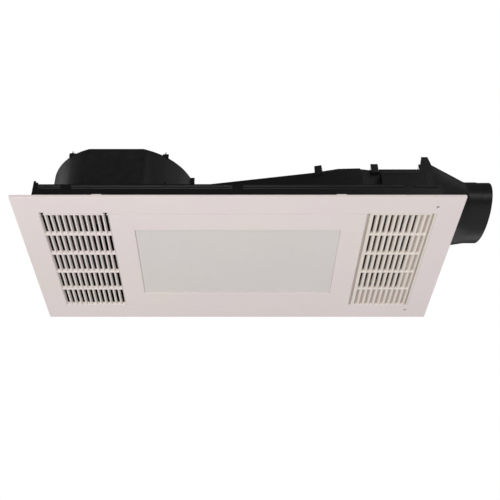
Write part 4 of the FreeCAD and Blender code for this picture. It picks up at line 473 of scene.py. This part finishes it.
def crystal_patches_group():
    """The flaky crystals of a zinc coat."""
    tree, start, end = shader_group(
        "crystal_patches",
        [
            ("Tone", "Color", (0.6, 0.6, 0.6, 1)),
            ("Crystal Scale", "Float", 140.0),
            ("Contrast", "Float", 0.2),
            ("Roughness", "Float", 0.4),
        ],
        [("Color", "Color"), ("Roughness", "Float"), ("Height", "Float")],
    )
    place = add(tree, "TexCoord").outputs["Object"]
    crystal = add(tree, "TexVoronoi", values={"Randomness": 1.0})
    tree.links.new(place, crystal.inputs["Vector"])
    tree.links.new(start.outputs["Crystal Scale"], crystal.inputs["Scale"])
    split = add(tree, "SeparateColor")
    tree.links.new(crystal.outputs["Color"], split.inputs[0])
    swing = add(tree, "Math", {"operation": "MULTIPLY_ADD"})
    tree.links.new(split.outputs[0], swing.inputs[0])
    tree.links.new(start.outputs["Contrast"], swing.inputs[1])
    swing.inputs[2].default_value = 0.85
    toned = add(tree, "VectorMath", {"operation": "SCALE"})
    tree.links.new(start.outputs["Tone"], toned.inputs[0])
    tree.links.new(swing.outputs[0], toned.inputs["Scale"])
    gloss = add(tree, "Math", {"operation": "MULTIPLY_ADD"})
    tree.links.new(split.outputs[1], gloss.inputs[0])
    tree.links.new(start.outputs["Contrast"], gloss.inputs[1])
    tree.links.new(start.outputs["Roughness"], gloss.inputs[2])
    tree.links.new(toned.outputs["Vector"], end.inputs["Color"])
    tree.links.new(gloss.outputs[0], end.inputs["Roughness"])
    tree.links.new(crystal.outputs["Distance"], end.inputs["Height"])
    return tree


def layered_lines_group():
    """Fine lines across one axis: stacked sheets, rolled metal or drawn wire."""
    tree, start, end = shader_group(
        "layered_lines",
        [
            ("Tone", "Color", (0.4, 0.4, 0.4, 1)),
            ("Line Tone", "Color", (0.2, 0.2, 0.2, 1)),
            ("Stretch", "Vector", (1.0, 1.0, 60.0)),
            ("Line Scale", "Float", 60.0),
        ],
        [("Color", "Color"), ("Height", "Float")],
    )
    place = add(tree, "TexCoord").outputs["Object"]
    stretched = add(tree, "VectorMath", {"operation": "MULTIPLY"})
    tree.links.new(place, stretched.inputs[0])
    tree.links.new(start.outputs["Stretch"], stretched.inputs[1])
    lines = add(tree, "TexNoise", values={"Detail": 3.0, "Roughness": 0.7})
    tree.links.new(stretched.outputs["Vector"], lines.inputs["Vector"])
    tree.links.new(start.outputs["Line Scale"], lines.inputs["Scale"])
    mixed = add(tree, "Mix", {"data_type": "RGBA"})
    tree.links.new(spread(tree, lines.outputs["Fac"], 0.0, 1.0), mixed.inputs["Factor"])
    tree.links.new(start.outputs["Tone"], mixed.inputs[6])
    tree.links.new(start.outputs["Line Tone"], mixed.inputs[7])
    tree.links.new(mixed.outputs[2], end.inputs["Color"])
    tree.links.new(lines.outputs["Fac"], end.inputs["Height"])
    return tree


def painted_recess_shade_group():
    """Painted shade: colour that darkens with depth behind a face that looks down."""
    tree, start, end = shader_group(
        "painted_recess_shade",
        [
            ("Color", "Color", (0.5, 0.5, 0.5, 1)),
            ("Face Height", "Float", 0.0),
            ("Depth", "Float", 0.003),
            ("Keep", "Color", (0.7, 0.7, 0.7, 1)),
        ],
        [("Color", "Color")],
    )
    split = add(tree, "SeparateXYZ")
    tree.links.new(add(tree, "TexCoord").outputs["Object"], split.inputs[0])
    behind = add(tree, "Math", {"operation": "SUBTRACT"})
    tree.links.new(split.outputs["Z"], behind.inputs[0])
    tree.links.new(start.outputs["Face Height"], behind.inputs[1])
    level = add(tree, "MapRange")
    tree.links.new(behind.outputs[0], level.inputs["Value"])
    tree.links.new(start.outputs["Depth"], level.inputs["From Max"])
    # Painted shade: the colour is multiplied toward Keep as the depth grows.
    shaded = add(tree, "Mix", {"data_type": "RGBA", "blend_type": "MULTIPLY"})
    tree.links.new(level.outputs["Result"], shaded.inputs["Factor"])
    tree.links.new(start.outputs["Color"], shaded.inputs[6])
    tree.links.new(start.outputs["Keep"], shaded.inputs[7])
    tree.links.new(shaded.outputs[2], end.inputs["Color"])
    return tree


MOULDED = moulded_surface_group()
RUBBED_AND_HIGHLIT = rubbed_and_highlit_edges_group()
DUSTED = settled_dust_group()
CRYSTAL = crystal_patches_group()
LAYERED = layered_lines_group()
PAINTED_RECESS_SHADE = painted_recess_shade_group()


def new_material(name):
    """A material with its node tree and its shader."""
    material = bpy.data.materials.new(name)
    material.use_nodes = True
    return material, material.node_tree, material.node_tree.nodes["Principled BSDF"]


def bump(tree, shader, height, strength, distance):
    """Let a height pattern tilt the surface."""
    bumped = add(tree, "Bump", values={"Strength": strength, "Distance": distance})
    tree.links.new(height, bumped.inputs["Height"])
    tree.links.new(bumped.outputs["Normal"], shader.inputs["Normal"])


def rgb(red, green, blue):
    """A solid colour."""
    return (red, green, blue, 1.0)


def moulded_plastic(
    name, tone, roughness, second=None, edge=None, edge_amount=0.3, dust=0.0, drift=0.03, grain=0.08,
    specular=0.5
):
    """Injection-moulded plastic: grained, slowly drifting in tone, lighter at its edges from rubbing and a
    painted highlight, dusty on top.
    """
    material, tree, shader = new_material(name)
    tones = {"Tone": tone, "Second Tone": second or tone}
    skin = use_group(tree, MOULDED, {**tones, "Roughness": roughness, "Drift": drift})
    colour = skin.outputs["Color"]
    # Lighter edges: partly rubbed wear, partly a painted highlight.
    if edge:
        rubbed_and_highlit = use_group(tree, RUBBED_AND_HIGHLIT, {"Edge Color": edge, "Amount": edge_amount})
        tree.links.new(colour, rubbed_and_highlit.inputs["Color"])
        colour = rubbed_and_highlit.outputs["Color"]
    if dust:
        dusted = use_group(tree, DUSTED, {"Amount": dust})
        tree.links.new(colour, dusted.inputs["Color"])
        colour = dusted.outputs["Color"]
    tree.links.new(colour, shader.inputs["Base Color"])
    tree.links.new(skin.outputs["Roughness"], shader.inputs["Roughness"])
    shader.inputs["Specular IOR Level"].default_value = specular
    bump(tree, shader, skin.outputs["Height"], grain, 0.0002)
    return material


def paint_recess_shade(material, depth, keep):
    """Paint shade into a finish inside slots and grooves, darker with depth where light doesn't reach."""
    tree = material.node_tree
    base = tree.nodes["Principled BSDF"].inputs["Base Color"]
    # Painted shade, darker with depth inside the slots.
    shade = use_group(tree, PAINTED_RECESS_SHADE, {"Face Height": FACE_Z, "Depth": depth, "Keep": keep})
    tree.links.new(base.links[0].from_socket, shade.inputs["Color"])
    tree.links.new(shade.outputs["Color"], base)
    return material


def panel_white(name):
    """Pinkish white of the panel."""
    return moulded_plastic(
        name, rgb(0.80, 0.702, 0.708), 0.46, second=rgb(0.79, 0.715, 0.68),
        edge=rgb(0.85, 0.80, 0.79), drift=0.015, specular=0.35
    )


def outlet_white():
    """Warmer white of the outlet grille, with painted shade in its slots."""
    material = moulded_plastic(
        "outlet_white", rgb(0.80, 0.74, 0.69), 0.5, second=rgb(0.79, 0.735, 0.67),
        edge=rgb(0.85, 0.80, 0.75), drift=0.015, specular=0.3
    )
    # Painted shade in the slots, warm grey at the slots' full depth.
    return paint_recess_shade(material, OUTLET_DEPTH, rgb(0.70, 0.64, 0.62))


def intake_white():
    """White of the intake grille, with a little painted shade in its slots."""
    # Painted shade in the slots, full at its depth.
    return paint_recess_shade(panel_white("intake_white"), INTAKE_PAINTED_SHADE_DEPTH, rgb(0.93, 0.955, 0.92))


def opal():
    """Opal sheet over the light: even, slightly see-through, with a fine matte skin."""
    material = moulded_plastic(
        "opal", rgb(0.715, 0.665, 0.662), 0.4, second=rgb(0.706, 0.668, 0.63),
        drift=0.015, grain=0.05, specular=0.35
    )
    shader = material.node_tree.nodes["Principled BSDF"]
    shader.inputs["Subsurface Weight"].default_value = 0.25
    shader.inputs["Subsurface Radius"].default_value = (0.006, 0.006, 0.006)
    return material


def black_plastic():
    """Black of the housing, with a fine grain."""
    return moulded_plastic(
        "black_plastic", rgb(0.0045, 0.0045, 0.0046), 0.35, edge=rgb(0.05, 0.05, 0.052), edge_amount=0.4,
        dust=0.03, drift=0.1, grain=0.14, specular=0.42
    )


def fan_plastic():
    """Duller black of the fan and the flaps."""
    return moulded_plastic(
        "fan_plastic", rgb(0.006, 0.006, 0.0065), 0.45, edge=rgb(0.04, 0.04, 0.042), edge_amount=0.4,
        dust=0.08, specular=0.25
    )


def motor_paint():
    """Black paint on the two motors, lighter at their edges: partly wear, partly a painted highlight."""
    return moulded_plastic(
        "motor_paint", rgb(0.03, 0.03, 0.033), 0.35, edge=rgb(0.2, 0.2, 0.2), edge_amount=0.5, dust=0.15
    )


def coated_metal(name, tone, roughness, scale, contrast):
    """Zinc-coated steel with its crystal patches."""
    material, tree, shader = new_material(name)
    coat = use_group(
        tree, CRYSTAL, {"Tone": tone, "Roughness": roughness, "Crystal Scale": scale, "Contrast": contrast}
    )
    tree.links.new(coat.outputs["Color"], shader.inputs["Base Color"])
    tree.links.new(coat.outputs["Roughness"], shader.inputs["Roughness"])
    shader.inputs["Metallic"].default_value = 1.0
    bump(tree, shader, coat.outputs["Height"], 0.06, 0.0003)
    return material


def lined_material(name, tone, line_tone, stretch, scale, metallic, roughness):
    """A material with fine lines across one axis."""
    material, tree, shader = new_material(name)
    lines = use_group(
        tree, LAYERED, {"Tone": tone, "Line Tone": line_tone, "Stretch": stretch, "Line Scale": scale}
    )
    tree.links.new(lines.outputs["Color"], shader.inputs["Base Color"])
    shader.inputs["Metallic"].default_value = metallic
    shader.inputs["Roughness"].default_value = roughness
    bump(tree, shader, lines.outputs["Height"], 0.15, 0.0003)
    return material


def circuit_green():
    """Solder mask over copper tracks: lines on a square raster."""
    material, tree, shader = new_material("circuit_green")
    place = add(tree, "TexCoord").outputs["Object"]
    raster = {"Scale": 180.0, "Mortar Size": 0.03, "Brick Width": 0.9, "Row Height": 0.25}
    tracks = add(tree, "TexBrick", values=raster)
    tracks.inputs["Color1"].default_value = rgb(0.012, 0.11, 0.045)
    tracks.inputs["Color2"].default_value = rgb(0.016, 0.13, 0.052)
    tracks.inputs["Mortar"].default_value = rgb(0.05, 0.24, 0.10)
    tree.links.new(place, tracks.inputs["Vector"])
    tree.links.new(tracks.outputs["Color"], shader.inputs["Base Color"])
    shader.inputs["Roughness"].default_value = 0.3
    bump(tree, shader, tracks.outputs["Fac"], 0.2, 0.0001)
    return material


# One finish for each material slot of the record.
MATERIALS = {
    "panel_white": panel_white("panel_white"),
    "outlet_white": outlet_white(),
    "opal": opal(),
    "black_plastic": black_plastic(),
    "fan_plastic": fan_plastic(),
    "zinc_steel": coated_metal("zinc_steel", rgb(0.55, 0.55, 0.53), 0.3, scale=900.0, contrast=0.12),
    "galvanised": coated_metal("galvanised", rgb(0.50, 0.51, 0.52), 0.36, scale=130.0, contrast=0.25),
    "pan_white": moulded_plastic("pan_white", rgb(0.82, 0.82, 0.80), 0.4),
    "led_board": moulded_plastic("led_board", rgb(0.80, 0.81, 0.80), 0.3),
    "led_chip": moulded_plastic("led_chip", rgb(0.80, 0.62, 0.14), 0.35),
    "driver_case": moulded_plastic("driver_case", rgb(0.72, 0.72, 0.70), 0.45, edge=rgb(0.8, 0.8, 0.78)),
    "motor_paint": motor_paint(),
    "lamination": lined_material(
        "lamination", rgb(0.30, 0.30, 0.31), rgb(0.10, 0.09, 0.09),
        stretch=(1, 1, 40), scale=50.0, metallic=0.8, roughness=0.45
    ),
    "rubber_bush": moulded_plastic("rubber_bush", rgb(0.014, 0.014, 0.014), 0.75),
    # The heater's fins are far darker than bare aluminium: painted shade, so that they look dark through
    # the grille's slots.
    "heater_metal": lined_material(
        "heater_metal", rgb(0.34, 0.33, 0.32), rgb(0.22, 0.21, 0.20),
        stretch=(30, 1, 1), scale=40.0, metallic=1.0, roughness=0.5
    ),
    "insulator": moulded_plastic("insulator", rgb(0.58, 0.52, 0.40), 0.6, edge=rgb(0.7, 0.64, 0.52)),
    "contact_metal": lined_material(
        "contact_metal", rgb(0.68, 0.52, 0.24), rgb(0.50, 0.38, 0.18),
        stretch=(1, 30, 1), scale=60.0, metallic=1.0, roughness=0.32
    ),
    "circuit_green": circuit_green(),
}


def dress_nodes():
    """Give every CAD piece the finish of its slot."""
    for name, thing in frame["nodes"].items():
        thing.data.materials.clear()
        thing.data.materials.append(MATERIALS[slot_of(name)])


# How far the edges of the visible plastic pieces are rounded, in millimetres.
EASED = {
    "panel_frame": 0.5,
    "center_fascia": 0.3,
    "intake_grille": 0.25,
    "outlet_grille": 0.3,
    "light_diffuser": 0.3,
    "body_tray": 0.5,
    "fan_casing": 0.4,
    "casing_lid": 0.5,
    "duct_adaptor": 0.4,
    "terminal_box": 0.5,
    "box_cover": 0.5,
    "cable_gland": 0.5,
    "damper_motor": 0.5,
}


def dress_eased():
    """Round the edges of the visible plastic pieces."""
    finishes = {name: MATERIALS[slot_of(name)] for name in EASED}
    finishes["intake_grille"] = intake_white()
    for name, ease in EASED.items():
        eased(name, ease * MM, finishes[name])


def dress_screws():
    """Give the screws that show their cross recesses, the panel's in a darker steel."""
    steel = MATERIALS["zinc_steel"]
    dull_steel = coated_metal("dull_steel", rgb(0.18, 0.18, 0.175), 0.5, scale=900.0, contrast=0.12)
    screw_set("lid_screws", (0, 0, 1), steel, shank_share=0.6)
    screw_set("motor_screws", (0, 0, 1), steel, shank_share=0.5)
    screw_set("cover_screws", (0, 0, 1), steel, shank_share=0.5)
    screw_set("panel_screws", (0, 0, -1), dull_steel, shank_share=0.6)


def floor():
    """Plain pale floor well below the ceiling unit, lit from within so that it lights the panel evenly."""
    bpy.ops.object.select_all(action="DESELECT")
    bpy.ops.mesh.primitive_plane_add(size=FLOOR_SIDE, location=(0, 0, FLOOR_Z))
    ground = bpy.context.active_object
    ground.name = "floor"
    material, tree, shader = new_material("floor_pale")
    shader.inputs["Base Color"].default_value = rgb(0.86, 0.86, 0.86)
    shader.inputs["Roughness"].default_value = 0.9
    shader.inputs["Emission Color"].default_value = rgb(1, 1, 1)
    ray = add(tree, "LightPath")
    glow = add(tree, "MapRange", values={"To Min": FLOOR_GLOW, "To Max": FLOOR_SEEN})
    tree.links.new(ray.outputs["Is Camera Ray"], glow.inputs["Value"])
    tree.links.new(glow.outputs["Result"], shader.inputs["Emission Strength"])
    ground.data.materials.append(material)


def area_light(name, place, target, side, power):
    """A soft square light that faces a point."""
    lamp = bpy.data.lights.new(name, "AREA")
    lamp.shape = "SQUARE"
    lamp.size = side
    lamp.energy = power
    thing = bpy.data.objects.new(name, lamp)
    bpy.context.scene.collection.objects.link(thing)
    thing.location = place
    aim = Vector(target) - Vector(place)
    thing.rotation_euler = aim.to_track_quat("-Z", "Y").to_euler()
    thing.visible_camera = False


def studio():
    """White surround for the camera, a dimmer one for light, and the soft lights."""
    world = bpy.data.worlds.new("studio")
    bpy.context.scene.world = world
    world.use_nodes = True
    tree = world.node_tree
    back = tree.nodes["Background"]
    ray = add(tree, "LightPath")
    level = add(tree, "MapRange", values={"To Min": SURROUND_GLOW, "To Max": SURROUND_SEEN})
    tree.links.new(ray.outputs["Is Camera Ray"], level.inputs["Value"])
    tree.links.new(level.outputs["Result"], back.inputs["Strength"])
    back.inputs["Color"].default_value = rgb(1, 1, 1)
    for name, (place, target, side, power) in LIGHTS.items():
        area_light(name, place, target, side, power)
    scene = bpy.context.scene
    scene.view_settings.view_transform = "Standard"
    scene.view_settings.look = "None"


def camera():
    """The photograph's camera."""
    lens = bpy.data.cameras.new("photo_camera")
    lens.lens = CAMERA_LENS
    lens.sensor_width = CAMERA_SENSOR
    lens.shift_x = CAMERA_SHIFT_X
    lens.clip_start = CAMERA_NEAR
    thing = bpy.data.objects.new("photo_camera", lens)
    bpy.context.scene.collection.objects.link(thing)
    thing.location = CAMERA_PLACE
    thing.rotation_euler = (CAMERA_PITCH, 0, 0)
    bpy.context.scene.camera = thing


dress_nodes()
dress_eased()
dress_screws()
floor()
studio()
camera()
